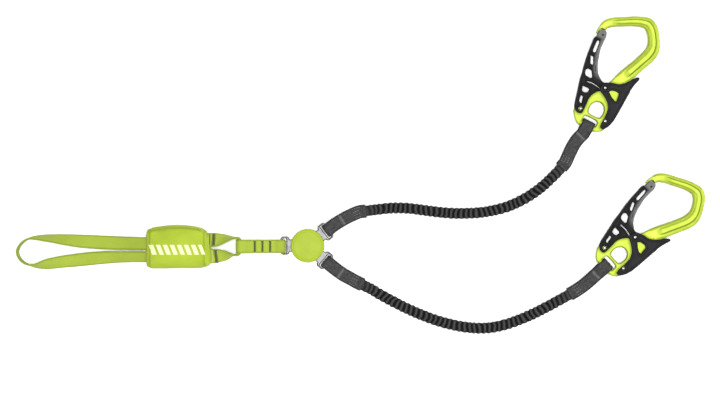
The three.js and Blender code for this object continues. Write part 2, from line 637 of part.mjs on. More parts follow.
function swivel() {
  const group = new THREE.Group();
  group.add(
    mesh('swivel_bottom_cap', geometryOf(swivelBase()), 'limePlastic'),
    mesh('swivel_top_cap', geometryOf(swivelTop()), 'limePlastic'),
    mesh('swivel_axle', geometryOf(swivelAxle()), 'steel'),
    mesh('swivel_washer_lower', geometryOf(swivelWasher('left')), 'blackPlastic'),
    mesh('swivel_washer_upper', geometryOf(swivelWasher('upper')), 'blackPlastic'),
    mesh('swivel_lug_left', geometryOf(lug('left', 180)), 'steel'),
  );
  return group;
}

function arm(name) {
  const group = new THREE.Group();
  group.add(
    mesh(`${name}_arm_lug`, geometryOf(lug(name, ARMS[name].lugAngle)), 'steel'),
    mesh(`${name}_swivel_fold`, geometryOf(swivelFold(name)), 'darkTape'),
    mesh(`${name}_elastic_sleeve`, elasticSleeve(name), 'elasticWeave'),
    mesh(`${name}_elastic_core`, elasticCore(name), 'rubber'),
    mesh(`${name}_carabiner_fold`, geometryOf(carabinerFold(name)), 'darkTape'),
    carabiner(name),
  );
  return group;
}

const lanyard = new THREE.Group();
lanyard.add(absorberSide(), swivel(), arm('upper'), arm('lower'));

export default lanyard;
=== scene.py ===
"""Looks of a via ferrata lanyard set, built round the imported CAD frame.

Shapes are worked out in millimetres and become metres as each mesh is made. Z is up, the set lies
flat, and +X runs from the tie-in loop to the carabiners.
"""

import json
import math

import bpy
import numpy as np
from mathutils import Matrix, Vector, noise
from mathutils.bvhtree import BVHTree
from mathutils.kdtree import KDTree
from mathutils.geometry import tessellate_polygon


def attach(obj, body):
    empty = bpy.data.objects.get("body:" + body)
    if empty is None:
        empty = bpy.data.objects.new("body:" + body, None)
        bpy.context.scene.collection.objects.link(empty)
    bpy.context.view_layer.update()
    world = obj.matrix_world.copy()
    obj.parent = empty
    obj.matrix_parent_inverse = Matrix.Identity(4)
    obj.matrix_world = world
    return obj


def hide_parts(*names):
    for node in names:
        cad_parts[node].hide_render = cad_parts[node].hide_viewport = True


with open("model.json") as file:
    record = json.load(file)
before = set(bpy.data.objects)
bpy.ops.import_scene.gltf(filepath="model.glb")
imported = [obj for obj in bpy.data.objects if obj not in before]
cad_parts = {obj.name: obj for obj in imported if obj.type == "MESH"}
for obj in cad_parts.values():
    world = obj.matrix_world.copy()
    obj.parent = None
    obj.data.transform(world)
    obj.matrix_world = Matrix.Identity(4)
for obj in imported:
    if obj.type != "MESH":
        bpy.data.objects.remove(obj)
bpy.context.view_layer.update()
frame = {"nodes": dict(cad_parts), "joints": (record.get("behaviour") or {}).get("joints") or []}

# ---- dimensions

MM = 0.001
UP = np.array([0.0, 0.0, 1.0])
SIDES = ("upper", "lower")

TAPE_THICK = 2.2
LOOP_TAPE = 16.0
END_LOOP_TAPE = 16.4
ARM_TAPE = 15.4
ELASTIC = {
    "half_width": 6.25, "half_thick": 4.1, "level": 4.6, "pitch": 5.85, "pucker": 1.5, "step": 0.5}
TAPE_STEP = 0.9
FOLD_STEP = 0.7
BAR_THREAD = 0.26
FOLD_THREAD = 0.24
SEAM_THREAD = 0.2
SHAPE_STEP = 0.7

# Carabiner, in its own plane: x from the gate rivet to the lever rivet, y to the top of the basket.
BAR_HALF = 5.2
PLATE_HALF = 3.6
FORK = (3.9, 5.4)
LEVER = (5.7, 7.5)
GATE_RIVET = (0.0, 0.0)
LEVER_RIVET = (31.6, 0.0)
LOCK_STUD = (14.3, 34.0)
RIVET_RADIUS = 1.9
BEARING = 2.15
TAPE_BAR = {"x": 16.4, "y": -13.5, "radius": 3.5, "left": 5.9, "right": 27.2}

# Middle line of the spine from the nose round the top to the plate: x, y, width.
SPINE = [
    (-19.5, 94.5, 8), (-17.5, 100, 9.5), (-11.5, 105.8, 10.3), (-2, 111.3, 10.4), (8.5, 117.3, 10.7),
    (18, 121.3, 11.6), (25.5, 122.4, 13.2), (32.3, 118.5, 13.2), (37.8, 111.5, 12.8),
    (41.8, 104.5, 13.6), (43.5, 97.5, 15), (42.5, 89.8, 15), (39.3, 81, 14.6), (35.8, 72.3, 14.6),
    (32.5, 64.3, 15), (29, 56, 15), (26.4, 49.2, 15),
]
NOSE = [
    (-23.2, 86), (-21.8, 86), (-21.7, 90.4), (-19.8, 93.3), (-15.5, 93.6), (-15.6, 95.5), (-19, 97),
    (-22.4, 97),
]
PLATE_OUTLINE = [
    (-4.4, -2), (-5.8, -4.5), (-3, -9.5), (1, -14), (5, -16.4), (7, -17), (7.9, -15.6), (7.9, -7),
    (8.4, -4.8), (10.4, -4), (22.7, -4), (24.7, -4.8), (25.2, -7), (25.2, -15), (26, -16),
    (31, -14.2), (35, -10.5), (36.6, -5), (36.8, 0), (36.2, 8), (35, 16), (34, 25), (32.4, 36),
    (31.4, 43), (32, 48), (26, 54), (20.5, 53), (17, 44), (13.5, 38), (9, 31.5), (5.5, 27), (3, 22),
    (2, 15), (1.4, 8), (1.2, 4),
]
EYE_HOLE = [
    (9, 6), (10.2, 11.8), (13.2, 15.4), (17.6, 16.6), (22.4, 15), (25.4, 11), (26, 5),
    (24.4, 0.6), (17.5, -0.5), (10.6, 0.6),
]
GATE_OUTLINE = [
    (-5, -3.5), (-2.5, -5.3), (1, -5.5), (3.8, -4), (4.3, 0), (4, 8), (3.6, 14), (4.5, 19),
    (6.5, 23), (9, 26.5), (13, 29), (17, 31), (18.6, 34.5), (17, 38.2), (13, 39.4), (9, 39),
    (5, 41), (1, 44), (-2, 48), (-6, 56), (-8.5, 64), (-10.5, 72), (-11, 80), (-11.5, 88),
    (-14, 92.5), (-19, 92.5), (-21.2, 90), (-21.3, 82.6), (-22.6, 81), (-22, 70), (-21, 60),
    (-19.5, 50), (-17.3, 40), (-15.5, 30), (-12.8, 20), (-10.2, 10), (-7.8, 2),
]
# The web joins the gate's cheeks at its tip and along its outer edge.
GATE_WEB = [
    (-17.2, 61.4), (-7.8, 61.4), *GATE_OUTLINE[20:36], (-8.7, 5), (-7.7, 5.2), (-7.5, 10),
    (-10.1, 20), (-12.8, 30), (-14.6, 40), (-16.4, 48), (-17.6, 56),
]
GATE_HOLES = [
    [(-18, 77), (-17.4, 79.5), (-15.8, 79.5), (-15, 77), (-14, 67), (-14.6, 65), (-16.6, 65),
     (-17.4, 67)],
    [(-17, 60), (-14, 60.5), (-9.6, 52), (-12.8, 51.2)],
    [(-14.4, 42.4), (-12.4, 45.4), (-8, 45), (-4, 38.6), (-6, 36.8), (-11, 36.8), (-13.2, 38.4)],
    [(-9, 25), (-0.6, 25.2), (-1.2, 20.8), (-4, 19), (-7.6, 19.4)],
    [(-6, 14), (-3.6, 14.4), (-1.6, 7.4), (-3, 6), (-4.8, 7.4)],
]
TIP_HOLE = ((-15.6, 87), 1.4)
LATCH_SLOT = {"radius": 32.4, "width": 1.8, "from": 64.2, "to": 103.0}
LEVER_OUTLINE = [
    (10, 28.4), (15, 26), (21, 22.5), (25, 19), (28, 14), (29, 8), (29.3, 0), (29.2, -6),
    (30.5, -9.5), (34, -9.5), (37, -6), (39.5, 0), (41, 12), (41.5, 25), (41.7, 35), (42, 45),
    (43, 52), (44.8, 59), (45, 61.6), (42.5, 62), (38, 57), (34.5, 52), (31, 48), (27, 45),
    (20, 43), (15, 41), (11, 38.8), (9.3, 35), (9.1, 31),
]
LEVER_WINDOW = [
    (20.4, 32), (23, 34.6), (28, 35.6), (31.6, 35), (32.6, 31), (33.4, 25.6), (30, 26), (26, 28),
]
LEVER_WEB = [
    (39.8, 2), (41, 12), (41.5, 25), (41.7, 35), (41.9, 43), (39.6, 43), (39.4, 35), (39.2, 25),
    (38.7, 12), (37.6, 2),
]

# Each arm runs from its lug over a folded tape end, the elastic tube and a second folded end to the
# tape bar of its carabiner.
ARMS = {
    "upper": {
        "lug_angle": 38,
        "first_fold": [(41.9, 30.8), (52, 35.8)],
        "elastic": [
            (64.5, 39.5), (79.1, 41.5), (97.9, 43.3), (117, 42.9), (138.9, 40.1), (160.9, 37.6),
            (183, 37.2), (204.9, 38.9), (227, 43.8), (239.3, 48.6), (254.7, 56.8), (270.1, 67.9),
            (283.5, 80.4), (289.3, 86.4), (293.7, 91.9),
        ],
        "last_fold": [(301, 105.2), (306.4, 116.2), (311.6, 123.4), (317, 128.9)],
    },
    "lower": {
        "lug_angle": -40,
        "first_fold": [(40, -32.6), (49, -37.8)],
        "elastic": [
            (60.8, -44.05), (72.9, -50.1), (83.3, -56.2), (99.4, -64.9), (115.5, -73),
            (131.7, -80), (147.8, -86), (164, -90.5), (180.1, -93.7), (196.2, -95.2),
            (212.3, -94.3), (228.5, -90.8), (244.6, -85.2), (260.7, -78.2), (276.9, -70),
            (293, -61.2), (303.8, -55),
        ],
        "last_fold": [(315, -47.9), (323, -41.4), (330.6, -34.5)],
    },
}
LUG_LEVELS = {"left": 4.2, "upper": 7.6, "lower": 11.0}
LUG_THICK = 2.2
LUG = {"bar_in": 28.1, "bar_out": 31.3, "slot_in": 24.5, "ring_in": 20.9, "half": 10.5, "disc": 13.0,
       "slot_half": 8.6, "bore": 4.3}

# Tape stations: x, y, z, and the tape's tilt in degrees (0 lies flat, 90 stands on its edge).
TIE_IN_LOOP = [
    (-176, 2.4, 13.5, 26), (-190, 2.5, 12.6, 28), (-210, 2.9, 9.6, 22), (-231, 3.5, 6.6, 15),
    (-250, 4.5, 5.4, 18), (-266, 5.6, 5.6, 28), (-280, 6.9, 6.6, 42), (-292, 8.1, 7.6, 55),
    (-303, 8.9, 8.1, 65), (-312, 9.2, 8.4, 76), (-319, 8.6, 8.5, 85), (-325.5, 5.6, 8.5, 90),
    (-330.5, 0.6, 8.5, 90), (-333.3, -5, 8.5, 90), (-333.3, -9.5, 8.5, 90),
    (-330.5, -15.2, 8.5, 90), (-325.5, -19.8, 8.5, 90), (-319, -22.6, 8.5, 84),
    (-312, -23.2, 8.4, 72), (-301, -21.4, 7.6, 46), (-285, -18.9, 6, 32), (-266, -16.7, 5, 22),
    (-248, -14.8, 5.2, 20), (-231, -13.5, 7, 28), (-213, -12.8, 10, 36), (-190, -12.6, 12.8, 40),
    (-176, -12.6, 13.5, 40),
]
END_LOOP = [
    (-119.5, 6.8, 13.6, 6), (-112, 6.6, 13.4, 8), (-107, 6.7, 12.8, 16), (-100, 7.6, 11.8, 40),
    (-92, 8.7, 10.9, 66), (-85, 9, 10.3, 88), (-80.4, 8.8, 10.2, 90), (-78.9, 8.3, 10.2, 90),
    (-78.1, 6.8, 10.2, 90), (-78, 2, 10.2, 90), (-78, -4, 10.2, 90), (-78.1, -8.6, 10.2, 90),
    (-78.9, -10.1, 10.2, 90), (-80.4, -10.6, 10.2, 90), (-85, -10.7, 10.3, 88),
    (-92, -11.5, 11, 56), (-100, -11.6, 12, 31), (-107, -11.8, 12.8, 14), (-112, -12, 13.4, 8),
    (-119.5, -12.2, 13.6, 6),
]
# Middle line of the connecting loop seen from the side: x, z, once round.
CONNECTING = {
    "middle_y": -0.8,
    "width": 15.4,
    "line": [
        (-50, 8.1), (-56, 8.9), (-62.6, 9.9), (-68.5, 13.9), (-74.4, 18.3), (-78.2, 19), (-80.6, 16.6),
        (-80.7, 10), (-80.6, 4), (-78.4, 1.6), (-74.6, 1.5), (-68.5, 4.2), (-62.6, 7.4), (-56, 6.7),
        (-50, 5.9), (-43, 5), (-37, 4.1), (-33.2, 2.85), (-28.2, 2.75), (-26.7, 4), (-26.7, 6.6),
        (-28.2, 7.85), (-33.2, 7.8), (-37, 6.5), (-43, 7.2),
    ],
    "tacks": (-60.6, -51.9, -43.1),
    "fall": -0.135,
}
# Bar tacks of the end loop: on its upper leg or not, x, thread width and length.
END_TACKS = {
    "dark": [(True, -112.4, 1.6, 13), (True, -107.6, 5.6, 13.6), (False, -105.2, 5.2, 15.6)],
    "pale": [(False, -109.2, 1.6, 15)],
}
POUCH = {
    "outline": [
        (-184, 15.5), (-182.6, 18.6), (-178, 20), (-168.7, 21.6), (-159, 23), (-147, 23.4),
        (-135.6, 22.9), (-126, 21.4), (-118.6, 18.4), (-115.6, 14), (-114.4, 7), (-113.8, 0),
        (-112, -4), (-111.1, -8), (-111, -16), (-112, -21), (-116, -23.6), (-131.6, -25.1),
        (-151, -25.3), (-170.4, -25.2), (-180.4, -25), (-183.2, -23.6), (-184, -20), (-184.2, -5),
        (-184.2, 6),
    ],
    "height": 27.0,
    "edge": 8.0,
    "hem": (-180.2, -118),
    "middle": 13.5,
}
SWIVEL = {"base_top": 3.9, "top_low": 13.5}


# ---- mesh helpers

def unit(vectors):
    """Vectors at length 1."""
    vectors = np.asarray(vectors, float)
    return vectors / np.linalg.norm(vectors, axis=-1, keepdims=True)


def clamp(value):
    """The value held between 0 and 1."""
    return min(1.0, max(0.0, value))


def smoothstep(share):
    """0 to 1 with a soft start and end."""
    return share * share * (3 - 2 * share)


def bell(away, width, power=2):
    """1 at no distance, and next to nothing past width."""
    return math.exp(-abs(away / width) ** power)


def spline(points, closed=False, samples=12):
    """A centripetal Catmull-Rom curve through points; columns past the third ride along."""
    points = np.asarray(points, float)
    if closed:
        padded = np.vstack([points[-1], points, points[:2]])
    else:
        padded = np.vstack([2 * points[0] - points[1], points, 2 * points[-1] - points[-2]])
    rows = []
    for a, b, c, d in zip(padded, padded[1:], padded[2:], padded[3:]):
        gaps = ((b - a)[:3], (c - b)[:3], (d - c)[:3])
        before, span, after = (max(np.linalg.norm(gap) ** 0.5, 1e-6) for gap in gaps)
        leave = ((b - a) / before - (c - a) / (before + span) + (c - b) / span) * span
        arrive = ((c - b) / span - (d - b) / (span + after) + (d - c) / after) * span
        for t in np.arange(samples) / samples:
            rows.append(
                b + leave * t + (-3 * b + 3 * c - 2 * leave - arrive) * t**2
                + (2 * b - 2 * c + leave + arrive) * t**3
            )
    if not closed:
        rows.append(points[-1])
    return np.array(rows)


def even(points, step, closed=False):
    """The same line with points at equal steps along it."""
    points = np.asarray(points, float)
    if closed:
        points = np.vstack([points, points[0]])
    reach = distances(points[:, :3])
    count = max(2, round(reach[-1] / step) + 1)
    at = np.linspace(0, reach[-1], count)
    if closed:
        at = at[:-1]
    return np.stack([np.interp(at, reach, column) for column in points.T], axis=1)


def distances(points):
    """How far along a line each of its points is."""
    return np.concatenate([[0], np.cumsum(np.linalg.norm(np.diff(points, axis=0), axis=1))])


def tangents(points, closed=False):
    """The direction of travel at each point of a line."""
    if closed:
        return unit(np.roll(points, -1, axis=0) - np.roll(points, 1, axis=0))
    return unit(np.gradient(points, axis=0))


def linked(name, data):
    """A new object in the scene."""
    piece = bpy.data.objects.new(name, data)
    bpy.context.scene.collection.objects.link(piece)
    return piece


def finished(piece):
    """A smooth copy of a piece's mesh, once its modifiers have worked on it."""
    mesh = bpy.data.meshes.new_from_object(piece.evaluated_get(bpy.context.evaluated_depsgraph_get()))
    mesh.polygons.foreach_set("use_smooth", [True] * len(mesh.polygons))
    return mesh


def paint(mesh, name, values):
    """Keeps a number at each vertex, for a material to read."""
    attribute = mesh.attributes.new(name, "FLOAT", "POINT")
    attribute.data.foreach_set("value", np.array(values, np.float32).ravel())


def ring_turns(count):
    """Angles at equal steps once round."""
    return 2 * np.pi * np.arange(count) / count


def make_mesh(name, vertices, faces, corner_uvs=None):
    """A smooth Blender object from millimetre vertices."""
    mesh = bpy.data.meshes.new(name)
    mesh.from_pydata((np.asarray(vertices, float) * MM).tolist(), [], faces)
    if corner_uvs is not None:
        layer = mesh.uv_layers.new(name="lay")
        layer.data.foreach_set("uv", np.asarray(corner_uvs, np.float32).ravel())
    mesh.polygons.foreach_set("use_smooth", [True] * len(mesh.polygons))
    mesh.update()
    return linked(name, mesh)


def skin(rings, closed=False):
    """Faces through equal rings of vertices, and each face corner's (ring, place) numbers."""
    count, around = rings.shape[:2]
    faces, corners = [], []
    for i in range(count if closed else count - 1):
        for j in range(around):
            quad = [(i, j), (i, j + 1), (i + 1, j + 1), (i + 1, j)]
            faces.append([(r % count) * around + c % around for r, c in quad])
            corners += quad
    if not closed:
        faces.append(list(range(around))[::-1])
        corners += [(0, j) for j in range(around)][::-1]
        faces.append([(count - 1) * around + j for j in range(around)])
        corners += [(count - 1, j) for j in range(around)]
    return faces, corners


def lofted(name, rings, closed=False):
    """A piece skinned through rings. Its UVs are millimetres: along, and round the section."""
    rings = np.asarray(rings, float)
    faces, corners = skin(rings, closed)
    middle, section = rings.mean(axis=1), rings[len(rings) // 2]
    along, around = (distances(np.vstack([line, line[:1]])) for line in (middle, section))
    uvs = [(along[i], around[j]) for i, j in corners]
    return make_mesh(name, rings.reshape(-1, 3), faces, uvs)


def rounded_strip(width, thick):
    """Section of a flat tape: (across, through) points, with full round selvedges."""
    half, radius = width / 2, thick / 2
    flat = np.linspace(-half + radius, half - radius, 10)
    crown = 0.12 * np.cos(np.pi * flat / width)
    angles = np.linspace(np.pi / 2, -np.pi / 2, 6)[1:-1]
    right = [(half - radius + radius * math.cos(a), radius * math.sin(a)) for a in angles]
    left = [(-a, -b) for a, b in right]
    return np.array([*zip(flat, radius + crown), *right, *zip(flat[::-1], -radius - crown), *left])


def tape(name, centres, across, width, thick=TAPE_THICK, closed=False):
    """A flat tape whose middle line and width directions are given."""
    along = tangents(centres, closed)
    across = unit(across - along * np.sum(across * along, axis=1, keepdims=True))
    through = np.cross(across, along)
    section = rounded_strip(width, thick)[::-1]
    wide, deep = section[None, :, :1], section[None, :, 1:]
    rings = centres[:, None] + wide * across[:, None] + deep * through[:, None]
    piece = lofted(name, rings, closed)
    # Painted shade on the rounded selvedges.
    selvedge_shade = np.clip((abs(section[:, 0]) - width / 2 + 1.6) / 0.9, 0, 1)
    paint(piece.data, "selvedge_shade", np.tile(selvedge_shade, len(rings)))
    return piece


def tilted_tape(name, stations, width, side=1, thick=TAPE_THICK):
    """A tape through stations of x, y, z and tilt. side says which edge the tilt turns down."""
    line = even(spline(stations), TAPE_STEP)
    centres, tilt = line[:, :3], np.radians(line[:, 3:])
    along = tangents(centres)
    outward = side * unit(np.stack([along[:, 1], -along[:, 0], 0 * along[:, 0]], axis=1))
    return tape(name, centres, outward * np.cos(tilt) - UP * np.sin(tilt), width, thick)


def tube_data(path, radius, sides=6):
    """Vertices and faces of a closed round tube along a path."""
    path = np.asarray(path, float)
    along = tangents(path)
    guide = UP if abs(along[0] @ UP) < 0.9 else np.array([1.0, 0, 0])
    side = unit(np.cross(along, guide))
    over = np.cross(side, along)
    turns = ring_turns(sides)[None, :, None]
    rings = path[:, None] + radius * (np.cos(turns) * side[:, None] + np.sin(turns) * over[:, None])
    return rings.reshape(-1, 3), skin(rings)[0]


def merged(parts):
    """Several (vertices, faces) as one."""
    vertices, faces, first = [], [], 0
    for points, polygons in parts:
        vertices.append(np.asarray(points, float))
        faces += [[first + i for i in polygon] for polygon in polygons]
        first += len(points)
    return np.vstack(vertices), faces


def circle(centre, radius, sides=32):
    turns = ring_turns(sides)
    return centre + radius * np.stack([np.cos(turns), np.sin(turns)], axis=1)


def outline(points, step=0.9):
    """A closed outline rounded through its points."""
    return even(spline(points, closed=True), step, closed=True)


def cornered(points, step=0.5, cut=0.1):
    """A closed outline of straight edges with small round corners."""
    points = np.asarray(points, float)
    for _ in range(2):
        after = np.roll(points, -1, axis=0)
        pairs = [points + (after - points) * cut, after + (points - after) * cut]
        points = np.stack(pairs, axis=1).reshape(-1, 2)
    return even(points, step, closed=True)


def rounded_box(left, bottom, right, top, radius, sides=6):
    """A rectangle with round corners."""
    points = []
    for x, y, start in ((right, bottom, -90), (right, top, 0), (left, top, 90), (left, bottom, 180)):
        centre_x = x - radius if x == right else x + radius
        centre_y = y - radius if y == top else y + radius
        for angle in np.radians(np.linspace(start, start + 90, sides)):
            points.append((centre_x + radius * math.cos(angle), centre_y + radius * math.sin(angle)))
    return np.array(points)


def turned_left(points, wanted):
    """The outline running anticlockwise where wanted is true, and clockwise where it isn't."""
    x, y = points[:, 0], points[:, 1]
    anticlockwise = np.sum(x * np.roll(y, -1) - y * np.roll(x, -1)) > 0
    return points if anticlockwise == wanted else points[::-1]


def inset(points, distance):
    """An outline moved to the left of its direction of travel."""
    edges = unit(np.roll(points, -1, axis=0) - points)
    normals = np.stack([-edges[:, 1], edges[:, 0]], axis=1)
    corner = unit(normals + np.roll(normals, 1, axis=0))
    stretch = np.clip(np.sum(corner * normals, axis=1, keepdims=True), 0.6, 1)
    return points + corner * distance / stretch


def plate_data(edge, holes, low, high, bevel, foot=None, steps=3):
    """Vertices and faces of a flat plate. Its upper edges are rounded by bevel, its lower by foot."""
    foot = bevel if foot is None else foot
    loops = [turned_left(np.asarray(edge, float), True)]
    loops += [turned_left(np.asarray(hole, float), False) for hole in holes]
    angles = np.linspace(0, np.pi / 2, steps + 1)
    levels = [(low + foot * (1 - math.cos(a)), foot * (1 - math.sin(a))) for a in angles]
    levels += [(high - bevel * (1 - math.cos(a)), bevel * (1 - math.sin(a))) for a in angles[::-1]]
    size = sum(len(loop) for loop in loops)
    vertices = []
    for z, shift in levels:
        for loop in loops:
            vertices += [(x, y, z) for x, y in inset(loop, shift)]
    start, faces = 0, []
    for loop in loops:
        count = len(loop)
        for layer in range(len(levels) - 1):
            for i in range(count):
                a, b = layer * size + start + i, layer * size + start + (i + 1) % count
                faces.append([a, b, b + size, a + size])
        start += count
    rims = [inset(loop, bevel) for loop in loops]
    triangles = tessellate_polygon([[Vector((x, y, 0)) for x, y in rim] for rim in rims])
    top = (len(levels) - 1) * size
    flat = np.vstack(rims)
    for a, b, c in triangles:
        (ax, ay), (bx, by), (cx, cy) = flat[a], flat[b], flat[c]
        if (bx - ax) * (cy - ay) - (by - ay) * (cx - ax) < 0:
            b, c = c, b
        faces.append([top + a, top + b, top + c])
        faces.append([a, c, b])
    return np.array(vertices), faces


def turned_data(profile, segments):
    """A solid of revolution about Z from [radius, z] points that start and end on the axis."""
    vertices, faces = [], []
    for radius, z in profile[1:-1]:
        vertices += [(radius * math.cos(a), radius * math.sin(a), z) for a in ring_turns(segments)]
    rows = len(profile) - 2
    for row in range(rows - 1):
        for i in range(segments):
            a, b = row * segments + i, row * segments + (i + 1) % segments
            faces.append([a, b, b + segments, a + segments])
    first, last = len(vertices), len(vertices) + 1
    vertices += [(0, 0, profile[0][1]), (0, 0, profile[-1][1])]
    for i in range(segments):
        faces.append([first, (i + 1) % segments, i])
        top = (rows - 1) * segments
        faces.append([last, top + i, top + (i + 1) % segments])
    return np.array(vertices), faces


def fused(name, parts, voxel, smoothing):
    """One skin round several closed shapes, with its edges softened."""
    rough = make_mesh(name + "_rough", *merged(parts))
    rough.data.transform(Matrix.Scale(1 / MM, 4))
    skinned = rough.modifiers.new("skin", "REMESH")
    skinned.mode = "VOXEL"
    skinned.voxel_size = voxel
    soften = rough.modifiers.new("soften", "SMOOTH")
    soften.factor = 0.5
    soften.iterations = smoothing
    mesh = finished(rough)
    mesh.transform(Matrix.Scale(MM, 4))
    bpy.data.objects.remove(rough)
    mesh.name = name
    return mesh


def placed(name, mesh, matrix):
    """A piece of its own from a shared mesh, set in its place."""
    own = mesh.copy()
    own.transform(matrix)
    own.name = name
    return linked(name, own)


# ---- materials

class Field:
    """A value that varies over a surface. Fields add, subtract and multiply like numbers."""

    def __init__(self, recipe, socket):
        self.recipe, self.socket = recipe, socket

    def __add__(self, other):
        return self.recipe.math("ADD", self, other)

    def __sub__(self, other):
        return self.recipe.math("SUBTRACT", self, other)

    def __mul__(self, other):
        return self.recipe.math("MULTIPLY", self, other)

    __radd__, __rmul__ = __add__, __mul__

    def __abs__(self):
        return self.recipe.math("ABSOLUTE", self)


class Recipe:
    """A material under construction. Sizes are in millimetres."""

    def __init__(self, name):
        self.material = bpy.data.materials.new(name)
        self.material.use_nodes = True
        self.tree = self.material.node_tree
        self.tree.nodes.clear()
        output = self.tree.nodes.new("ShaderNodeOutputMaterial")
        self.shader = self.tree.nodes.new("ShaderNodeBsdfPrincipled")
        self.tree.links.new(self.shader.outputs[0], output.inputs[0])

    def feed(self, socket, value):
        if isinstance(value, Field):
            self.tree.links.new(value.socket, socket)
        else:
            socket.default_value = value

    def set(self, **values):
        """Sets the shader's own sockets."""
        for name, value in values.items():
            self.feed(self.shader.inputs[name.replace("_", " ")], value)

    def node(self, kind, inputs=None, output=0, **settings):
        """One output of a new node with these settings and inputs."""
        node = self.tree.nodes.new("ShaderNode" + kind)
        for name, value in settings.items():
            setattr(node, name, value)
        for key, value in (inputs or {}).items():
            self.feed(node.inputs[key], value)
        return Field(self, node.outputs[output])

    def math(self, operation, first, second=0.0):
        return self.node("Math", {0: first, 1: second}, operation=operation)

    def sine(self, where):
        return self.math("SINE", where)

    def below(self, first, second):
        """1 where first is less than second, 0 elsewhere."""
        return self.math("LESS_THAN", first, second)

    def wave(self, where, pitch):
        """0 to 1 and back once every pitch."""
        return self.sine(where * (2 * math.pi / pitch)) * 0.5 + 0.5

    def split(self, vector):
        """The x, y and z of a vector."""
        parts = self.node("SeparateXYZ", {0: vector}).socket.node.outputs
        return [Field(self, socket) for socket in parts]

    def place(self):
        """The piece's own coordinates, in metres."""
        return self.node("TexCoord", output="Object")

    def lay(self):
        """The piece's UVs, and their two numbers: millimetres along a tape and round it."""
        whole = self.node("UVMap", uv_map="lay")
        return [whole, *self.split(whole)[:2]]

    def attribute(self, name):
        """A number kept at each vertex."""
        return self.node("Attribute", output="Fac", attribute_name=name)

    def noise(self, where, scale, detail=3.0):
        return self.node("TexNoise", {"Vector": where, "Scale": scale, "Detail": detail, "Roughness": 0.55})

    def grain(self, size, detail=3.0):
        """Noise whose blotches are about this many millimetres across."""
        return self.noise(self.place(), 1 / (size * MM), detail)

    def ramp(self, share, low, high):
        """share brought from low..high to 0..1."""
        return self.node("MapRange", {"Value": share, "From Min": low, "From Max": high})

    def between(self, share, first, second):
        """A colour between two, or a number where they are numbers."""
        if isinstance(first, float):
            return self.node("Mix", {0: share, 2: first, 3: second})
        colours = [(*c, 1) if isinstance(c, tuple) else c for c in (first, second)]
        return self.node("Mix", {0: share, 6: colours[0], 7: colours[1]}, 2, data_type="RGBA")

    def bump(self, height, depth, strength):
        """Relief this many millimetres deep."""
        self.set(Normal=self.node("Bump", {"Strength": strength, "Distance": depth * MM, "Height": height}))


def webbing(name, dark, light, rib=1.15, stroke=0.95, sheen=0.05, mottle=0.0):
    """Woven tape: ribs along it, crossed by a herringbone of slanting strokes, with painted shade along its
    selvedges.
    """
    recipe = Recipe(name)
    where, along, round_ = recipe.lay()
    ribs = abs(recipe.sine(round_ * (math.pi / rib)))
    side = recipe.math("MODULO", recipe.math("FLOOR", round_ * (1 / rib)), 2.0)
    strokes = recipe.wave(along + (side * 2.0 - 1.0) * round_ * 0.75, stroke)
    weave = ribs * (strokes * 0.4 + 0.6)
    yarn, blotch = recipe.noise(where, 0.6, 4.0), recipe.noise(where, 0.045, 2.0)
    patches = (recipe.noise(where, 0.3) - 0.5) * mottle
    tone = weave * 0.62 + yarn * 0.3 + blotch * 0.25 + patches - recipe.attribute("selvedge_shade") * 0.4
    recipe.set(Base_Color=recipe.between(recipe.ramp(tone, 0.3, 0.85), dark, light))
    recipe.set(Roughness=yarn * 0.15 + 0.68, Sheen_Weight=sheen, Specular_IOR_Level=0.2)
    recipe.bump(weave + yarn * 0.3, 0.16, 0.8)
    return recipe.material


def gathered_weave(name, dark, light):
    """The elastic's tubular weave: fine ribs along it, with painted light and shade, lighter ridge tops and
    darker hollows in the puckers.
    """
    recipe = Recipe(name)
    where, along, round_ = recipe.lay()
    ribs = abs(recipe.sine(round_ * (math.pi / 0.95)))
    weave = ribs * (recipe.wave(along, 0.7) * 0.45 + 0.55)
    fleck = recipe.noise(where, 1.1)
    # ridge is low in the puckers' hollows, so they get painted shade, and the ridge tops a painted lighter
    # tone.
    tone = recipe.attribute("ridge") * 0.7 + weave * 0.25 + fleck * 0.35
    recipe.set(Base_Color=recipe.between(recipe.ramp(tone, 0.5, 1.1), dark, light))
    recipe.set(Roughness=fleck * 0.12 + 0.74, Specular_IOR_Level=0.15)
    recipe.bump(weave + fleck * 0.35, 0.14, 0.8)
    return recipe.material


def pouch_cloth():
    """Plain woven cover cloth with a generic pale hatched mark along its upper face, and painted shade
    where its shade is high.
    """
    recipe = Recipe("pouch_cloth")
    where, across, along = recipe.lay()
    yarn_turn = math.pi / 0.85
    warp, weft = recipe.sine(across * yarn_turn), recipe.sine(along * yarn_turn)
    over = recipe.math("GREATER_THAN", warp * weft, 0.0)
    weave = recipe.between(over, abs(warp), abs(weft))
    fibre = recipe.noise(where, 0.9)
    tone = weave * 0.35 + fibre * 0.25 + recipe.grain(26, 2.0) * 0.55 - recipe.attribute("shade") * 1.1
    cloth = recipe.between(recipe.ramp(tone, 0.3, 0.95), (0.245, 0.33, 0.015), (0.4, 0.505, 0.038))
    x, y, z = recipe.split(recipe.place())
    y = y * (1 / MM)
    slanted = x * (1 / MM) + y * 0.4 + 180.2
    dash = recipe.below(recipe.math("MODULO", slanted, 8.0), 4.9)
    inside = recipe.below(abs(slanted - 29.6), 30.4) * recipe.below(abs(y + 4.2), 5.6)
    mark = dash * inside * recipe.math("GREATER_THAN", z, 0.016)
    ink = mark * recipe.ramp(fibre, 0.1, 0.5)
    recipe.set(Base_Color=recipe.between(ink, cloth, (0.72, 0.78, 0.45)))
    recipe.set(Roughness=recipe.between(ink, 0.72, 0.5), Sheen_Weight=0.05, Specular_IOR_Level=0.2)
    recipe.bump(weave + fibre * 0.3 + mark * 0.4, 0.12, 0.7)
    return recipe.material


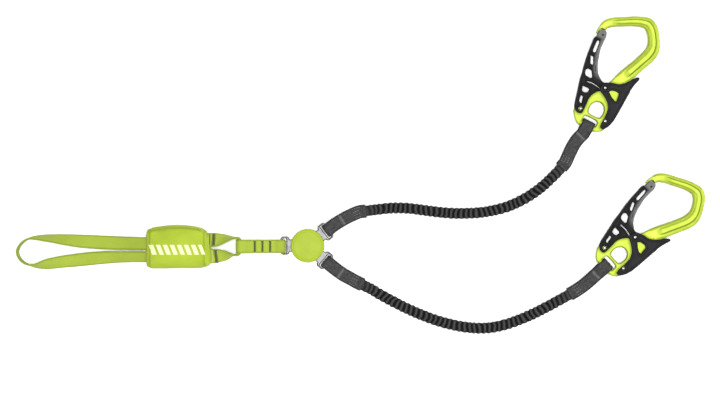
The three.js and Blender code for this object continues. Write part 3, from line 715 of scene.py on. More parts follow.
def anodised(name, colour, worn_and_lit, shaded, metallic, roughness, gloss):
    """Satin metal with a fine grain, sharp edges paled by use, a painted highlight where painted_highlight
    is high, and painted shade where its shade is high.
    """
    recipe = Recipe(name)
    fine, broad = recipe.grain(0.35, 2.0), recipe.grain(9)
    scuff = recipe.ramp(recipe.grain(1.6, 4.0), 0.5, 0.72)
    sharp = recipe.ramp(recipe.node("NewGeometry", output="Pointiness"), 0.53, 0.62)
    deep = tuple(0.82 * value for value in colour)
    base = recipe.between(recipe.ramp(broad, 0.3, 0.7), deep, colour)
    # Painted shade where the shade attribute is high.
    base = recipe.between(recipe.attribute("shade") * 0.85, base, shaded)
    # Sharp edges paled by use, plus the painted highlight on the gate's inner strip and tip.
    wear_and_highlight = sharp * (scuff * 0.6 + 0.35) + recipe.attribute("painted_highlight")
    recipe.set(Base_Color=recipe.between(wear_and_highlight, base, worn_and_lit), Metallic=metallic, Specular_IOR_Level=gloss)
    recipe.set(Roughness=fine * 0.12 + scuff * 0.08 + (roughness - 0.08))
    recipe.bump(fine + broad * 0.6, 0.035, 0.5)
    return recipe.material


def moulded(name, colour, light, roughness, gloss):
    """Moulded plastic with a fine eroded grain."""
    recipe = Recipe(name)
    fine, broad = recipe.grain(0.5), recipe.grain(14, 2.0)
    tone = recipe.ramp(fine * 0.4 + broad * 0.6, 0.35, 0.68)
    recipe.set(Base_Color=recipe.between(tone, colour, light), Specular_IOR_Level=gloss)
    recipe.set(Roughness=fine * 0.16 + (roughness - 0.08))
    recipe.bump(fine, 0.05, 0.5)
    return recipe.material


def thread(name, dark, light):
    """Twisted sewing thread."""
    recipe = Recipe(name)
    x, y, z = recipe.split(recipe.place())
    tone = recipe.wave((x + y + z) * (1 / MM), 0.42) * 0.6 + recipe.grain(0.3, 2.0) * 0.4
    recipe.set(Base_Color=recipe.between(tone, dark, light), Roughness=0.7)
    recipe.bump(tone, 0.06, 0.7)
    return recipe.material


def steel(name, dark, light, roughness):
    """Turned or pressed steel with faint rub marks."""
    recipe = Recipe(name)
    rub, cloud = recipe.grain(0.8, 5.0), recipe.grain(6, 2.0)
    tone = recipe.ramp(rub * 0.5 + cloud * 0.5, 0.3, 0.7)
    recipe.set(Base_Color=recipe.between(tone, dark, light), Metallic=1.0)
    recipe.set(Roughness=rub * 0.18 + (roughness - 0.09))
    recipe.bump(rub, 0.02, 0.5)
    return recipe.material


def floor_paper():
    """Matt paper with barely visible fibres."""
    recipe = Recipe("floor_paper")
    recipe.set(Base_Color=recipe.between(recipe.grain(40, 5.0), (0.9, 0.9, 0.9), (0.94, 0.94, 0.94)))
    recipe.set(Roughness=0.9)
    return recipe.material


# Each material's maker, and what it's given after the name.
FINISHES = {
    "lime_metal": (anodised, (0.42, 0.53, 0.05), (0.6, 0.7, 0.24), (0.15, 0.19, 0.012), 0.35, 0.5, 0.15),
    "lime_tape": (webbing, (0.2, 0.27, 0.016), (0.385, 0.48, 0.056)),
    "lime_plastic": (moulded, (0.27, 0.36, 0.008), (0.315, 0.405, 0.014), 0.5, 0.2),
    "black_metal": (
        anodised, (0.007, 0.007, 0.0075), (0.16, 0.16, 0.158), (0.004, 0.004, 0.004), 0.0, 0.6, 0.12),
    "black_plastic": (moulded, (0.0055, 0.0055, 0.007), (0.015, 0.015, 0.0175), 0.58, 0.13),
    "grey_tape": (webbing, (0.011, 0.011, 0.0115), (0.062, 0.062, 0.063), 1.05, 0.9, 0.02, 0.9),
    "elastic_weave": (gathered_weave, (0.0015, 0.0015, 0.0018), (0.056, 0.056, 0.057)),
    "steel": (steel, (0.42, 0.43, 0.44), (0.64, 0.65, 0.67), 0.3),
    "dark_steel": (steel, (0.035, 0.035, 0.036), (0.085, 0.085, 0.087), 0.38),
    "rivet_steel": (steel, (0.24, 0.24, 0.245), (0.42, 0.42, 0.43), 0.36),
    "white_webbing": (webbing, (0.55, 0.54, 0.5), (0.85, 0.84, 0.8)),
    "black_thread": (thread, (0.008, 0.01, 0.006), (0.04, 0.045, 0.03)),
    "grey_thread": (thread, (0.12, 0.12, 0.125), (0.3, 0.3, 0.305)),
    "lime_thread": (thread, (0.3, 0.38, 0.04), (0.52, 0.6, 0.14)),
    "olive_thread": (thread, (0.016, 0.022, 0.005), (0.085, 0.11, 0.02)),
    "tack_thread": (thread, (0.045, 0.045, 0.046), (0.16, 0.16, 0.162)),
}
MATERIALS = {name: maker(name, *values) for name, (maker, *values) in FINISHES.items()}
MATERIALS["pouch_fabric"] = pouch_cloth()


def dress(piece, body, slot, finish=None, replaces=()):
    """Gives a piece its finish, the slot's material unless another finish is named, and its body, and hides
    the CAD nodes that it stands for.
    """
    piece.data.materials.clear()
    piece.data.materials.append(MATERIALS[finish or slot])
    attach(piece, body)
    if replaces:
        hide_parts(*replaces)


# ---- camera

def make_camera():
    """Straight above the middle of the photograph's frame, with a long lens."""
    view_width = 828.0
    middle = (60.3, 51.4)
    object_height = 9
    lens, sensor = 100.0, 36.0
    data = bpy.data.cameras.new("camera")
    data.lens, data.sensor_width = lens, sensor
    data.clip_start, data.clip_end = 0.1, 20
    camera = linked("camera", data)
    camera.location = Vector((*middle, object_height + view_width * lens / sensor)) * MM
    bpy.context.scene.camera = camera


# ---- elastic arms

def elastic_line(name):
    """Middle line of an arm's elastic, in millimetres."""
    flat = [(x, y, ELASTIC["level"]) for x, y in ARMS[name]["elastic"]]
    return even(spline(flat), ELASTIC["step"])


def elastic(name):
    """The tubular sleeve of an arm, gathered into uneven puckers and pinched at its sewn ends."""
    line = elastic_line(name)
    along = tangents(line)
    across = unit(np.cross(UP, along))
    reach = ELASTIC["step"] * np.arange(len(line))
    total = reach[-1]
    seed = 11.0 if name == "upper" else 47.0
    uneven = np.array([1 + 0.3 * noise.noise(Vector((seed, s / 9, 0))) for s in reach])
    phase = np.cumsum(ELASTIC["step"] / (ELASTIC["pitch"] * uneven))
    end = np.minimum(reach, total - reach)
    pinch = np.clip(end / 5.0, 0, 1) ** 0.7
    gather = 0.25 + 0.75 * np.clip(end / 22, 0, 1)
    turns = ring_turns(44)
    rings, ridges = [], []
    for i, s in enumerate(reach):
        ring, ridge_row = [], []
        for angle in turns:
            c, d = math.cos(angle), math.sin(angle)
            drift = 0.24 * noise.noise(Vector((s / 16, 0.9 * c, 0.9 * d + seed)))
            drift += 0.1 * math.sin(2 * angle + s / 11)
            swell = 0.5 - 0.5 * math.cos(2 * math.pi * (phase[i] + drift))
            ridge = swell ** 0.9
            crease = noise.noise(Vector((s / 2.1, 1.7 * c + seed, 1.7 * d)))
            depth = ELASTIC["pucker"] * (1 + 0.45 * noise.noise(Vector((s / 5, 2 * c, 2 * d + seed))))
            lift = ((ridge - 0.66) * depth * gather[i] + 0.28 * crease) * pinch[i]
            wide = ELASTIC["half_width"] * (0.97 + 0.03 * pinch[i]) + lift * 0.62
            thick = ELASTIC["half_thick"] * (0.42 + 0.58 * pinch[i]) + lift
            ring.append(line[i] + across[i] * wide * c + UP * thick * d)
            ridge_row.append(0.75 + (ridge - 0.75) * gather[i])
        rings.append(ring)
        ridges.append(ridge_row)
    piece = lofted(f"{name}_elastic_tube", np.array(rings))
    # ridge also drives the painted light and shade of the puckers in the material.
    paint(piece.data, "ridge", ridges)
    nodes = (f"{name}_elastic_sleeve", f"{name}_elastic_core")
    dress(piece, f"{name}_arm", "elastic_weave", replaces=nodes)


make_camera()
for arm in SIDES:
    elastic(arm)


# ---- stitching

def zigzag(centre, long, short, up, length, width, strokes):
    """The thread path of a bar tack: strokes across a bar that runs along long."""
    points = []
    for i in range(strokes + 1):
        along = (i / strokes - 0.5) * length
        edge = width / 2 if i % 2 else -width / 2
        points.append(centre + long * along + short * edge - up * 0.12)
        if i < strokes:
            step = length / strokes / 2
            points.append(centre + long * (along + step) + up * 0.24)
    return np.array(points)


def dashes(points, up, stitch=2.6, gap=1.1):
    """Thread paths of a running stitch along a line."""
    step = 0.45
    line = even(points, step)
    every, on = round((stitch + gap) / step), round(stitch / step)
    paths = []
    for start in range(0, len(line) - on, every):
        piece = line[start:start + on + 1].copy()
        arch = np.sin(np.linspace(0, np.pi, len(piece)))[:, None]
        paths.append(piece + (0.42 * arch ** 0.5 - 0.3) * up)
    return paths


def sewn(name, paths, radius, body, slot, finish):
    """One piece of all the threads given."""
    piece = make_mesh(name, *merged([tube_data(path, radius) for path in paths]))
    dress(piece, body, slot, finish)


# ---- tapes of the absorber side

def station_frame(stations, side, x, upper):
    """A place on a tilted tape at x: the face that looks up, and its directions. upper picks the leg."""
    line = even(spline(stations), TAPE_STEP)
    legs = line[: len(line) // 2] if upper else line[len(line) // 2:]
    here = legs[np.argmin(abs(legs[:, 0] - x))]
    near = np.argmin(np.linalg.norm(line - here, axis=1))
    along = tangents(line[:, :3])[near]
    tilt = math.radians(here[3])
    outward = side * unit(np.array([along[1], -along[0], 0]))
    across = outward * math.cos(tilt) - UP * math.sin(tilt)
    through = np.cross(across, along)
    up = through if through[2] > 0 else -through
    return here[:3] + up * (TAPE_THICK / 2 + 0.1), along, across, up


def tie_in_loop():
    piece = tilted_tape("tie_in_tape", TIE_IN_LOOP, LOOP_TAPE, thick=1.6)
    dress(piece, "absorber_side", "lime_tape", replaces=["tie_in_loop"])


def end_loop():
    piece = tilted_tape("absorber_end_tape", END_LOOP, END_LOOP_TAPE, side=-1)
    dress(piece, "absorber_side", "lime_tape", replaces=["absorber_end_loop"])
    for tone, finish in (("dark", "olive_thread"), ("pale", "lime_thread")):
        paths = []
        for upper, x, wide, length in END_TACKS[tone]:
            centre, along, across, up = station_frame(END_LOOP, -1, x, upper)
            paths.append(zigzag(centre, across, along, up, length, wide, strokes=40))
        sewn(f"end_tape_{tone}_tacks", paths, BAR_THREAD, "absorber_side", "lime_tape", finish)


def connecting_loop():
    middle_y, width = CONNECTING["middle_y"], CONNECTING["width"]
    corners = [(x, middle_y, z) for x, z in CONNECTING["line"]]
    line = even(spline(corners, closed=True), FOLD_STEP, closed=True)
    sideways = np.array([0.0, 1.0, 0.0])
    piece = tape("connecting_tape", line, np.tile(sideways, (len(line), 1)), width, closed=True)
    dress(piece, "absorber_side", "lime_tape", replaces=["connecting_loop"])
    slope = unit(np.array([1, 0, CONNECTING["fall"]]))
    paths = []
    for x in CONNECTING["tacks"]:
        z = np.interp(x, [-62.6, -56, -50, -43, -37], [9.9, 8.9, 8.1, 7.2, 6.5])
        centre = np.array([x, middle_y, z + TAPE_THICK / 2 + 0.12])
        paths.append(zigzag(centre, sideways, slope, UP, length=12.4, width=3.2, strokes=38))
    sewn("connecting_bar_tacks", paths, BAR_THREAD, "absorber_side", "lime_tape", "olive_thread")


# ---- pouch

def inflate(piece, frames, pressure, cap):
    """Blows a closed cloth up a little, and keeps each point within cap of where it was."""
    mesh = piece.data
    before = np.array([v.co for v in mesh.vertices])
    cloth = piece.modifiers.new("cloth", "CLOTH")
    settings = cloth.settings
    settings.quality = 6
    settings.mass = 0.25
    settings.tension_stiffness = 12
    settings.compression_stiffness = 12
    settings.bending_stiffness = 0.4
    settings.use_pressure = True
    settings.uniform_pressure_force = pressure
    settings.effector_weights.gravity = 0
    settings.shrink_min = -0.04
    cloth.point_cache.frame_end = frames
    for number in range(1, frames + 1):
        bpy.context.scene.frame_set(number)
    after = np.array([v.co for v in finished(piece).vertices])
    piece.modifiers.remove(cloth)
    bpy.context.scene.frame_set(1)
    move = after - before
    far = np.linalg.norm(move, axis=1, keepdims=True)
    after = before + move * np.minimum(1, cap / np.maximum(far, 1e-9))
    mesh.vertices.foreach_set("co", after.ravel())
    mesh.update()


def subdivided(piece):
    """Gives a piece one round of subdivision, and returns its new mesh."""
    piece.modifiers.new("finer", "SUBSURF").levels = 1
    finer = finished(piece)
    piece.modifiers.clear()
    piece.data = finer
    return finer


def box_lay(mesh):
    """UVs in millimetres, laid on each face from the axis that it faces most."""
    layer = mesh.uv_layers.new(name="lay")
    for face in mesh.polygons:
        axis = max(range(3), key=lambda i: abs(face.normal[i]))
        first, second = [(1, 2), (0, 2), (0, 1)][axis]
        for loop in face.loop_indices:
            place = mesh.vertices[mesh.loops[loop].vertex_index].co / MM
            layer.data[loop].uv = (place[first], place[second])


def pouch():
    """The padded cover of the folded absorber: crowned, tight, with a hem at each open end."""
    start = inset(turned_left(outline(POUCH["outline"], 1.6), True), 0.7)
    slab = plate_data(start, [], 1.2, POUCH["height"] - 1.6, POUCH["edge"], steps=6)
    piece = linked("pouch_cover", fused("pouch_cover", [slab], voxel=2.5, smoothing=1))
    inflate(piece, frames=20, pressure=4.0, cap=2.5 * MM)
    mesh = subdivided(piece)
    left, right = POUCH["hem"]
    level = POUCH["middle"]
    ridge = np.array([p for p in POUCH["outline"] if p[1] > 15])
    ridge = ridge[np.argsort(ridge[:, 0])]
    shades = []
    for vertex in mesh.vertices:
        x, y, z = vertex.co / MM
        crease = max(bell(x - left, 0.9), bell(x - right, 0.9))
        near = min(1.0, abs(x - left) / 14, abs(x - right) / 14)
        ruck = 0.6 * (1 - near) * noise.noise(Vector((x / 16, y / 3.4, z / 3.4)))
        soft = 0.6 * noise.noise(Vector((x / 21, y / 13, z / 9)))
        edge = np.interp(x, ridge[:, 0], ridge[:, 1])
        flap = bell(y - edge + 2.3, 0.7) if z > level and -182 < x < -121 else 0
        out = Vector((0, (y + 1) / 24, (z - level) / 13)).normalized()
        vertex.co += out * (ruck + soft - 0.8 * crease - flap) * MM
        vertex.co.z = min(max(vertex.co.z, 0.15 * MM), (POUCH["height"] + 1.5) * MM)
        # Painted shade: a dark line under the flap's edge and in the hem creases.
        shades.append(max(0.6 * crease, 1.4 * flap))
    paint(mesh, "shade", shades)
    mesh.update()
    box_lay(mesh)
    dress(piece, "absorber_side", "pouch_fabric", replaces=["pouch_bottom_shell", "pouch_top_shell"])
    pouch_seams(piece)


def pouch_seams(cover):
    """Running stitches along the hems and the flap, and a welt round each open end."""
    places = [v.co / MM for v in cover.data.vertices]
    tree = BVHTree.FromPolygons(places, [list(p.vertices) for p in cover.data.polygons])

    def on_top(x, y):
        hit = tree.ray_cast(Vector((x, y, 60)), Vector((0, 0, -1)))[0]
        return np.array([x, y, hit.z if hit else np.nan])

    left, right = POUCH["hem"]
    lines = [[on_top(x, y) for y in np.arange(-20, 18.1, 0.8)] for x in (left + 1.8, right + 1.9)]
    lines.append([on_top(x, 16.2 + 0.02 * (x + 150)) for x in np.arange(left + 4, right - 2, 0.8)])
    paths = []
    for line in lines:
        line = np.array(line)
        paths += dashes(line[~np.isnan(line[:, 2])], UP)
    sewn("pouch_stitching", paths, SEAM_THREAD, "absorber_side", "pouch_fabric", "lime_thread")
    for name, x, low, high in (("left", -183.2, -22.5, 13), ("right", -113.4, -19.5, 12.5)):
        oval = rounded_box(low, 8.2, high, 18.8, 5.2)
        ring = even([(x, y, z) for y, z in oval], TAPE_STEP, closed=True)
        out = unit(ring - ring.mean(axis=0))
        axis = np.array([1.0, 0, 0])
        turn = ring_turns(8)[None, :, None]
        rings = ring[:, None] + 1.1 * (np.cos(turn) * out[:, None] + np.sin(turn) * axis)
        welt = lofted(f"pouch_{name}_welt", rings, closed=True)
        dress(welt, "absorber_side", "lime_tape")


# ---- swivel

def swivel_caps():
    low, base_top = SWIVEL["top_low"], SWIVEL["base_top"]
    top = [
        (0, 0.9), (4.6, 0.9), (4.9, 0), (17.8, 0), (18.7, 0.15), (19, 0.6), (19, 1.5), (18.85, 2),
        (18.3, 2.55), (17.6, 2.9), (16.9, 2.95), (16.6, 2.86), (16.2, 2.88), (15.9, 3.08),
        (15.2, 3.2), (11, 3.35), (6, 3.45), (2, 3.5), (0, 3.5),
    ]
    top = [(r, low + z) for r, z in top]
    base = [
        (0, 0.02), (16.8, 0.02), (17.9, 0.25), (18.6, 0.8), (18.95, 1.6), (19, 2.4), (19, 3.2),
        (18.8, 3.7), (18.3, base_top), (4.9, base_top), (4.6, 3), (0, 3),
    ]
    for name, profile in (("top", top), ("bottom", base)):
        rounded = [(max(r, 0), z) for r, z in spline(profile, samples=3)]
        rounded[0], rounded[-1] = profile[0], profile[-1]
        piece = make_mesh(f"swivel_{name}_cover", *turned_data(rounded, 112))
        dress(piece, "absorber_side", "lime_plastic", replaces=[f"swivel_{name}_cap"])


def lug_mesh(level):
    """A pressed steel lug lying along +X: an eye disc on the axle and a slotted ring for the tape."""
    low, high = level, level + LUG_THICK
    half = LUG["half"]
    bore = circle((0, 0), LUG["bore"], 28)
    disc = plate_data(circle((0, 0), LUG["disc"], 60), [bore], low, high, 0.5)
    ring = rounded_box(LUG["ring_in"], -half, LUG["bar_out"], half, 3.4, 8)
    slot = rounded_box(LUG["slot_in"], -LUG["slot_half"], LUG["bar_in"], LUG["slot_half"], 1.2, 5)
    neck = rounded_box(7, -7, LUG["ring_in"] + 2, 7, 1)
    parts = [disc, plate_data(ring, [slot], low, high, 0.9), plate_data(neck, [], low, high, 0.5)]
    return fused("lug", parts, voxel=0.34, smoothing=3)


def lugs():
    places = [("left", 180, "absorber_side", "swivel_lug_left")]
    places += [(name, ARMS[name]["lug_angle"], f"{name}_arm", f"{name}_arm_lug") for name in SIDES]
    for name, degrees, body, node in places:
        turn = Matrix.Rotation(math.radians(degrees), 4, "Z")
        piece = placed(f"{name}_lug_plate", lug_mesh(LUG_LEVELS[name]), turn)
        dress(piece, body, "steel", "dark_steel", [node])


# ---- folded tape ends

def carabiner_matrix(name):
    """Places a carabiner's own plane, from the axes of its gate and its lever."""
    origins = {joint["name"]: np.array(joint["pos_m"]) / MM for joint in frame["joints"]}
    gate, lever = origins[f"{name}_gate_opening"], origins[f"{name}_lever_squeeze"]
    angle = math.atan2(lever[1] - gate[1], lever[0] - gate[0])
    return Matrix.Translation(Vector((gate[0], gate[1], 7.5))) @ Matrix.Rotation(angle, 4, "Z")


def folded_end(name, route, loop_wide, loop_high, node, tack):
    """Tape folded round a bar: route runs from the bar's middle to the elastic, between two layers."""
    arm = name.split("_")[0]
    line = even(spline(route), FOLD_STEP)
    along = tangents(line)
    across = unit(np.cross(UP, along))
    up = np.cross(along, across)
    reach = FOLD_STEP * np.arange(len(line))
    total = reach[-1]
    half = TAPE_THICK / 2
    layer = half + 0.06
    ease = smoothstep(np.clip((reach - loop_wide * 0.3) / (loop_wide * 2.6), 0, 1))
    part = np.clip(1 - (total - reach) / 9, 0, 1)
    spread = loop_high + (layer - loop_high) * ease + 0.75 * part * part
    upper = line + up * spread[:, None]
    lower = line - up * spread[:, None]
    turns = np.radians(np.arange(96, 265, 12))
    loop = [line[0] + along[0] * loop_wide * math.cos(a) + up[0] * loop_high * math.sin(a) for a in turns]
    rows = np.vstack([upper[1:][::-1], loop, lower[1:]])
    sides = np.vstack([across[1:][::-1], np.tile(across[0], (len(loop), 1)), across[1:]])
    piece = tape(f"{name}_tape", rows, sides, ARM_TAPE)
    dress(piece, f"{arm}_arm", "grey_tape", replaces=[node])
    tacks = (("first", tack, 4.4, "tack_thread"), ("last", total - 2.6, 2.6, "black_thread"))
    for label, place, width, finish in tacks:
        i = int(np.argmin(abs(reach - place)))
        centre = upper[i] + up[i] * (half + 0.14)
        path = zigzag(centre, across[i], along[i], up[i], 11.6, width, strokes=34)
        sewn(f"{name}_{label}_tack", [path], FOLD_THREAD, f"{arm}_arm", "grey_tape", finish)
    first, last = np.searchsorted(reach, [total - 15, total - 5.5])
    paths = []
    for side in (-5.4, -1.8, 1.8, 5.4):
        seam = (upper + across * side + up * (half + 0.1))[first:last]
        paths += dashes(seam, UP, stitch=1.7, gap=1.2)
    sewn(f"{name}_box_stitch", paths, SEAM_THREAD, f"{arm}_arm", "grey_tape", "grey_thread")


def swivel_fold(name):
    arm, level = ARMS[name], LUG_LEVELS[name] + LUG_THICK / 2
    angle = math.radians(arm["lug_angle"])
    out = np.array([math.cos(angle), math.sin(angle), 0.0])
    line = elastic_line(name)
    back = -tangents(line)[0]
    drop = (level - ELASTIC["level"]) / 2
    middle = [(x, y, level - drop * i) for i, (x, y) in enumerate(arm["first_fold"], 1)]
    bar = (LUG["bar_in"] + LUG["bar_out"]) / 2
    start = [out * r + UP * level for r in (bar, 33.4, 37.6)]
    route = [*start, *middle, line[0] + back * 5, line[0] - back * 2.4]
    folded_end(f"{name}_swivel_fold", route, 3.05, 2.6, f"{name}_swivel_fold", 19.5)


def carabiner_fold(name):
    arm = ARMS[name]
    place = carabiner_matrix(name)
    bar = [np.array(place @ Vector((TAPE_BAR["x"], TAPE_BAR["y"] - r, 0))) for r in (0, 5, 9)]
    line = elastic_line(name)
    on = tangents(line)[-1]
    low = ELASTIC["level"]
    climb = (bar[0][2] - low) / len(arm["last_fold"])
    middle = [(x, y, low + climb * i) for i, (x, y) in enumerate(arm["last_fold"], 1)]
    route = [*bar, *middle[::-1], line[-1] + on * 5, line[-1] - on * 2.4]
    folded_end(f"{name}_carabiner_fold", route, 5.05, 5.05, f"{name}_carabiner_fold", 14.5)


# ---- carabiner

def spine_line():
    """Points, cross directions and widths along the forged bar, from the nose to the plate."""
    line = even(spline([(x, y, 0, w) for x, y, w in SPINE], samples=16), SHAPE_STEP)
    along = tangents(line[:, :3])
    side = np.stack([-along[:, 1], along[:, 0], 0 * along[:, 0]], axis=1)
    return line[:, :3], side, 1.06 * line[:, 3]


def spine_data():
    """The forged bar: an I-section swept from the nose round the top and down into the plate."""
    points, side, widths = spine_line()
    share = np.linspace(0, 1, len(points))
    height = BAR_HALF - (BAR_HALF - PLATE_HALF) * np.clip((share - 0.86) / 0.14, 0, 1) ** 2
    height -= np.clip(1 - share / 0.05, 0, 1)
    dip = 1.5 * np.clip((share - 0.09) / 0.06, 0, 1) * np.clip((0.95 - share) / 0.05, 0, 1)
    section = np.concatenate([np.linspace(-1, 1, 41), np.linspace(1, -1, 41)[1:-1]])
    sign = np.concatenate([np.ones(41), -np.ones(39)])
    dome = (1 - abs(section) ** 4) ** (1 / 2.6)
    outer_wall = 1 / (1 + np.exp((section - 0.3) * 44))
    inner_wall = 1 / (1 + np.exp((-0.52 - section) * 15))
    rings = []
    for i, (centre, width) in enumerate(zip(points, widths)):
        rise = sign * (height[i] * dome - dip[i] * outer_wall * inner_wall)
        rings.append(centre + side[i] * (section * width / 2)[:, None] + UP * rise[:, None])
    rings = np.array(rings)
    return rings.reshape(-1, 3), skin(rings)[0]


def nearby(*edges):
    """A tree of flat points, to look up which is the closest and how near it is."""
    points = np.vstack(edges)
    tree = KDTree(len(points))
    for i, (x, y) in enumerate(points[:, :2]):
        tree.insert((x, y, 0), i)
    tree.balance()
    return tree


def body_mesh():
    """The forged carabiner body: I-section bar, lower plate with its eye, and the round tape bar."""
    lower = plate_data(outline(PLATE_OUTLINE), [outline(EYE_HOLE)], -PLATE_HALF, PLATE_HALF, 1.5)
    bar = [(x, TAPE_BAR["y"], 0) for x in np.arange(TAPE_BAR["left"], TAPE_BAR["right"] + 0.1, 0.8)]
    nose = plate_data(outline(NOSE, SHAPE_STEP), [], -BAR_HALF + 0.9, BAR_HALF - 0.9, 0.6)
    parts = [lower, spine_data(), tube_data(bar, TAPE_BAR["radius"], 24), nose]
    for rivet in (GATE_RIVET, LEVER_RIVET):
        parts.append(plate_data(circle(rivet, 5, 40), [], -PLATE_HALF, PLATE_HALF, 0.8))
    mesh = fused("carabiner_body", parts, voxel=0.46, smoothing=2)
    shade_body(mesh)
    return mesh


def shade_body(mesh):
    """Paints shade into the colour: darker groove walls and bar rims, a darker ring round the eye, painted
    shadow on the plate next to the black parts, and the rest of the plate slightly darker.
    """
    points, side, widths = spine_line()
    spine, eye = nearby(points), nearby(outline(EYE_HOLE))
    shadowing_outlines = nearby(outline(GATE_OUTLINE, SHAPE_STEP), outline(LEVER_OUTLINE, SHAPE_STEP))
    shades = []
    for vertex in mesh.vertices:
        place = np.array(vertex.co) / MM
        flat = (place[0], place[1], 0)
        i = spine.find(flat)[1]
        share = float((place - points[i]) @ side[i]) / widths[i]
        if abs(share) < 0.52 and 4 < i < len(points) - 3:
            reach = i / len(points)
            # Painted shade along the groove's walls.
            band = 0.8 * bell(share - 0.17, 0.07) + 0.5 * bell(share + 0.27, 0.13, 4)
            band *= clamp((reach - 0.08) / 0.05) * clamp((0.94 - reach) / 0.05)
            shades.append(max(band, 0.55 * clamp((abs(share) - 0.42) / 0.08)))
        else:
            # Painted shade round the eye hole, and painted shadow next to the gate and lever.
            near_eye, near_black = bell(eye.find(flat)[2], 1.7), bell(shadowing_outlines.find(flat)[2], 2)
            shades.append(0.12 + max(0.6 * near_eye, 0.85 * near_black))
    paint(mesh, "shade", shades)


def arc_slot():
    """The curved slot in the gate's cheeks that the lock stud travels along."""
    sweep = np.radians(np.linspace(LATCH_SLOT["from"], LATCH_SLOT["to"], 22))
    arc = np.stack([np.cos(sweep), np.sin(sweep)], axis=1)
    radius, half = LATCH_SLOT["radius"], LATCH_SLOT["width"] / 2
    return np.vstack([(radius - half) * arc, (radius + half) * arc[::-1]])


def cheek_pair(edge, holes, span, bevel):
    """The two side plates of a part, each rounded on its outer face."""
    low, high = span
    front = plate_data(edge, holes, low, high, bevel, 0.15)
    return [front, plate_data(edge, holes, -high, -low, 0.15, bevel)]


def sink_panels(mesh, edges, level, rim, depth):
    """Lowers the outer faces beyond level wherever they are farther than rim from every edge."""
    tree = nearby(*edges)
    for vertex in mesh.vertices:
        x, y, z = vertex.co / MM
        if abs(z) > level:
            away = tree.find((x, y, 0))[2]
            vertex.co.z -= math.copysign(depth * smoothstep(clamp((away - rim) / 0.8)), z) * MM
    mesh.update()


def gate_mesh():
    windows = [inset(turned_left(cornered(hole), False), 0.35) for hole in GATE_HOLES]
    windows += [circle(GATE_RIVET, BEARING), circle(*TIP_HOLE, 16), arc_slot()]
    edge = outline(GATE_OUTLINE, SHAPE_STEP)
    web = plate_data(outline(GATE_WEB, SHAPE_STEP), [windows[0]], -FORK[0] - 0.3, FORK[0] + 0.3, 0.2)
    parts = [*cheek_pair(edge, windows, FORK, bevel=1.1), web]
    mesh = fused("gate", parts, voxel=0.4, smoothing=2)
    sink_panels(mesh, [edge, *windows], level=FORK[0] + 0.9, rim=1.6, depth=0.8)
    step_gate(mesh)
    return mesh


def step_gate(mesh):
    """Sets the strip along the gate's inner edge lower, and paints a highlight on it and on the tip."""
    foot = 38
    heights = [foot, 48, 56, 64, 72, 80, 92]
    inner_edge = [6, -2, -6, -8.5, -10.5, -11, -12.5]
    outer_edge = [-17, -19, -20.4, -21.4, -22.2, -22.4, -20]
    highlights = []
    for vertex in mesh.vertices:
        x, y, z = vertex.co / MM
        rub = 0.0
        if abs(z) > FORK[0] + 0.5 and y > foot:
            inner, outer = np.interp(y, heights, inner_edge), np.interp(y, heights, outer_edge)
            strip = clamp((x - outer) / (inner - outer) * 3.4 - 1.9)
            fade = clamp((y - foot) / 8)
            # rub here is a painted highlight on the slanted inner strip and on the tip.
            rub = max(strip, clamp((y - 81) / 3)) * fade
            vertex.co.z -= math.copysign(0.9 * strip * fade, z) * MM
        highlights.append(0.85 * rub)
    paint(mesh, "painted_highlight", highlights)


def lever_mesh():
    holes = [cornered(LEVER_WINDOW), circle(LEVER_RIVET, BEARING), circle(LOCK_STUD, BEARING)]
    edge = outline(LEVER_OUTLINE, SHAPE_STEP)
    web = plate_data(outline(LEVER_WEB, SHAPE_STEP), [], -LEVER[0] - 0.4, LEVER[0] + 0.4, 0.3)
    grips = []
    for y in np.arange(6, 42, 3.6):
        x = np.interp(y, [2, 12, 25, 35, 43], [39.8, 41, 41.5, 41.7, 41.9])
        grips.append(tube_data([(x - 0.3, y, z) for z in np.linspace(-5.6, 5.6, 12)], 0.7, 12))
    parts = [*cheek_pair(edge, holes, LEVER, bevel=1.4), web, *grips]
    mesh = fused("lever", parts, voxel=0.4, smoothing=3)
    sink_panels(mesh, [edge, *holes], level=LEVER[0] + 1.1, rim=2.1, depth=0.7)
    return mesh


def rivet_mesh(low, high, both=True):
    """A rivet with slightly domed, turned heads."""
    radius = RIVET_RADIUS
    head = [(radius, high - 0.75), (radius - 0.12, high - 0.5), (1.5, high - 0.24), (1.25, high - 0.14),
            (1.05, high - 0.02), (0.5, high + 0.08), (0, high + 0.1)]
    foot = [(0, low), (radius - 0.2, low), (radius, low + 0.2)]
    if both:
        foot = [(r, low + high - z) for r, z in reversed(head)]
    piece = make_mesh("rivet", *turned_data([*foot, *head], 36))
    mesh = piece.data
    bpy.data.objects.remove(piece)
    for face in mesh.polygons:
        face.use_smooth = abs(face.normal.z) < 0.999
    return mesh


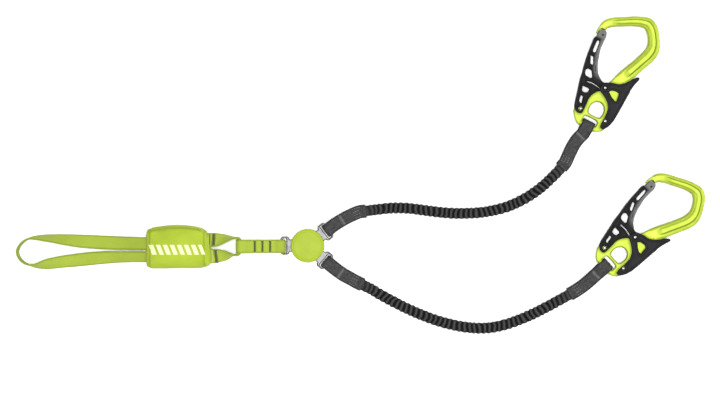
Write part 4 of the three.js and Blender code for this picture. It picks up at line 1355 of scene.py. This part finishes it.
def carabiners():
    shapes = {
        "carabiner_body": ("carabiner", "lime_metal", body_mesh()),
        "gate": ("gate", "black_metal", gate_mesh()),
        "lever": ("lever", "black_plastic", lever_mesh()),
    }
    gate_half, lever_half = FORK[1] + 0.1, LEVER[1] - 0.1
    rivets = {
        "gate_rivet": ("carabiner", GATE_RIVET, rivet_mesh(-gate_half, gate_half)),
        "lever_rivet": ("carabiner", LEVER_RIVET, rivet_mesh(-lever_half, lever_half)),
        "lock_stud_front": ("lever", LOCK_STUD, rivet_mesh(LEVER[0] + 0.1, lever_half, both=False)),
    }
    for name in SIDES:
        place = Matrix.Scale(MM, 4) @ carabiner_matrix(name) @ Matrix.Scale(1 / MM, 4)
        for part, (body, slot, mesh) in shapes.items():
            piece = placed(f"{name}_{part}_shape", mesh, place)
            dress(piece, f"{name}_{body}", slot, replaces=[f"{name}_{part}"])
        for part, (body, at, mesh) in rivets.items():
            shift = Matrix.Translation(Vector((*at, 0)) * MM)
            piece = placed(f"{name}_{part}_head", mesh, place @ shift)
            dress(piece, f"{name}_{body}", "steel", "rivet_steel", [f"{name}_{part}"])
        flip = Matrix.Translation(Vector((*LOCK_STUD, 0)) * MM) @ Matrix.Rotation(math.pi, 4, "X")
        piece = placed(f"{name}_lock_stud_back_head", rivets["lock_stud_front"][2], place @ flip)
        dress(piece, f"{name}_lever", "steel", "rivet_steel", [f"{name}_lock_stud_back"])


# ---- making

tie_in_loop()
end_loop()
connecting_loop()
pouch()
swivel_caps()
lugs()
for arm in SIDES:
    swivel_fold(arm)
    carabiner_fold(arm)
carabiners()

# What the covers hide, or show a little of, keeps its CAD shape and gets its own finish.
INNER = {
    "absorber_webbing": "white_webbing",
    "swivel_axle": "steel",
    "swivel_washer_lower": "black_plastic",
    "swivel_washer_upper": "black_plastic",
    **{f"{name}_{part}_spring": "steel" for name in SIDES for part in ("gate", "lever")},
}
for node, slot in INNER.items():
    for place in frame["nodes"][node].material_slots:
        place.material = MATERIALS[slot]


# ---- floor and light

def make_floor():
    half, level = 4000, -0.3
    corners = [(half * x, half * y, level) for x, y in ((-1, -1), (1, -1), (1, 1), (-1, 1))]
    floor = make_mesh("floor", corners, [[0, 1, 2, 3]])
    floor.data.materials.append(floor_paper())


def area_light(name, at, aim, size, power):
    data = bpy.data.lights.new(name, "AREA")
    data.shape = "DISK"
    data.size = size
    data.energy = power
    light = linked(name, data)
    light.location = at
    light.rotation_euler = (Vector(aim) - Vector(at)).to_track_quat("-Z", "Y").to_euler()


def make_light():
    world = bpy.data.worlds.new("studio")
    world.use_nodes = True
    tree = world.node_tree
    split = tree.nodes.new("ShaderNodeSeparateXYZ")
    tree.links.new(tree.nodes.new("ShaderNodeTexCoord").outputs["Generated"], split.inputs[0])
    height = tree.nodes.new("ShaderNodeMapRange")
    tree.links.new(split.outputs[2], height.inputs["Value"])
    height.inputs["To Min"].default_value = 0.2
    height.inputs["To Max"].default_value = 0.5
    background = tree.nodes["Background"]
    background.inputs[0].default_value = (1, 1, 1, 1)
    tree.links.new(height.outputs[0], background.inputs[1])
    bpy.context.scene.world = world
    middle = (0.06, 0.05, 0)
    area_light("overhead", (0.06, 0.05, 3.0), middle, 0.9, 92)
    area_light("key", (0.7, -1.3, 1.5), middle, 1.0, 8)
    area_light("rim", (2.1, 0.4, 0.95), middle, 0.6, 16)


make_floor()
make_light()
bpy.context.scene.view_settings.view_transform = "Standard"
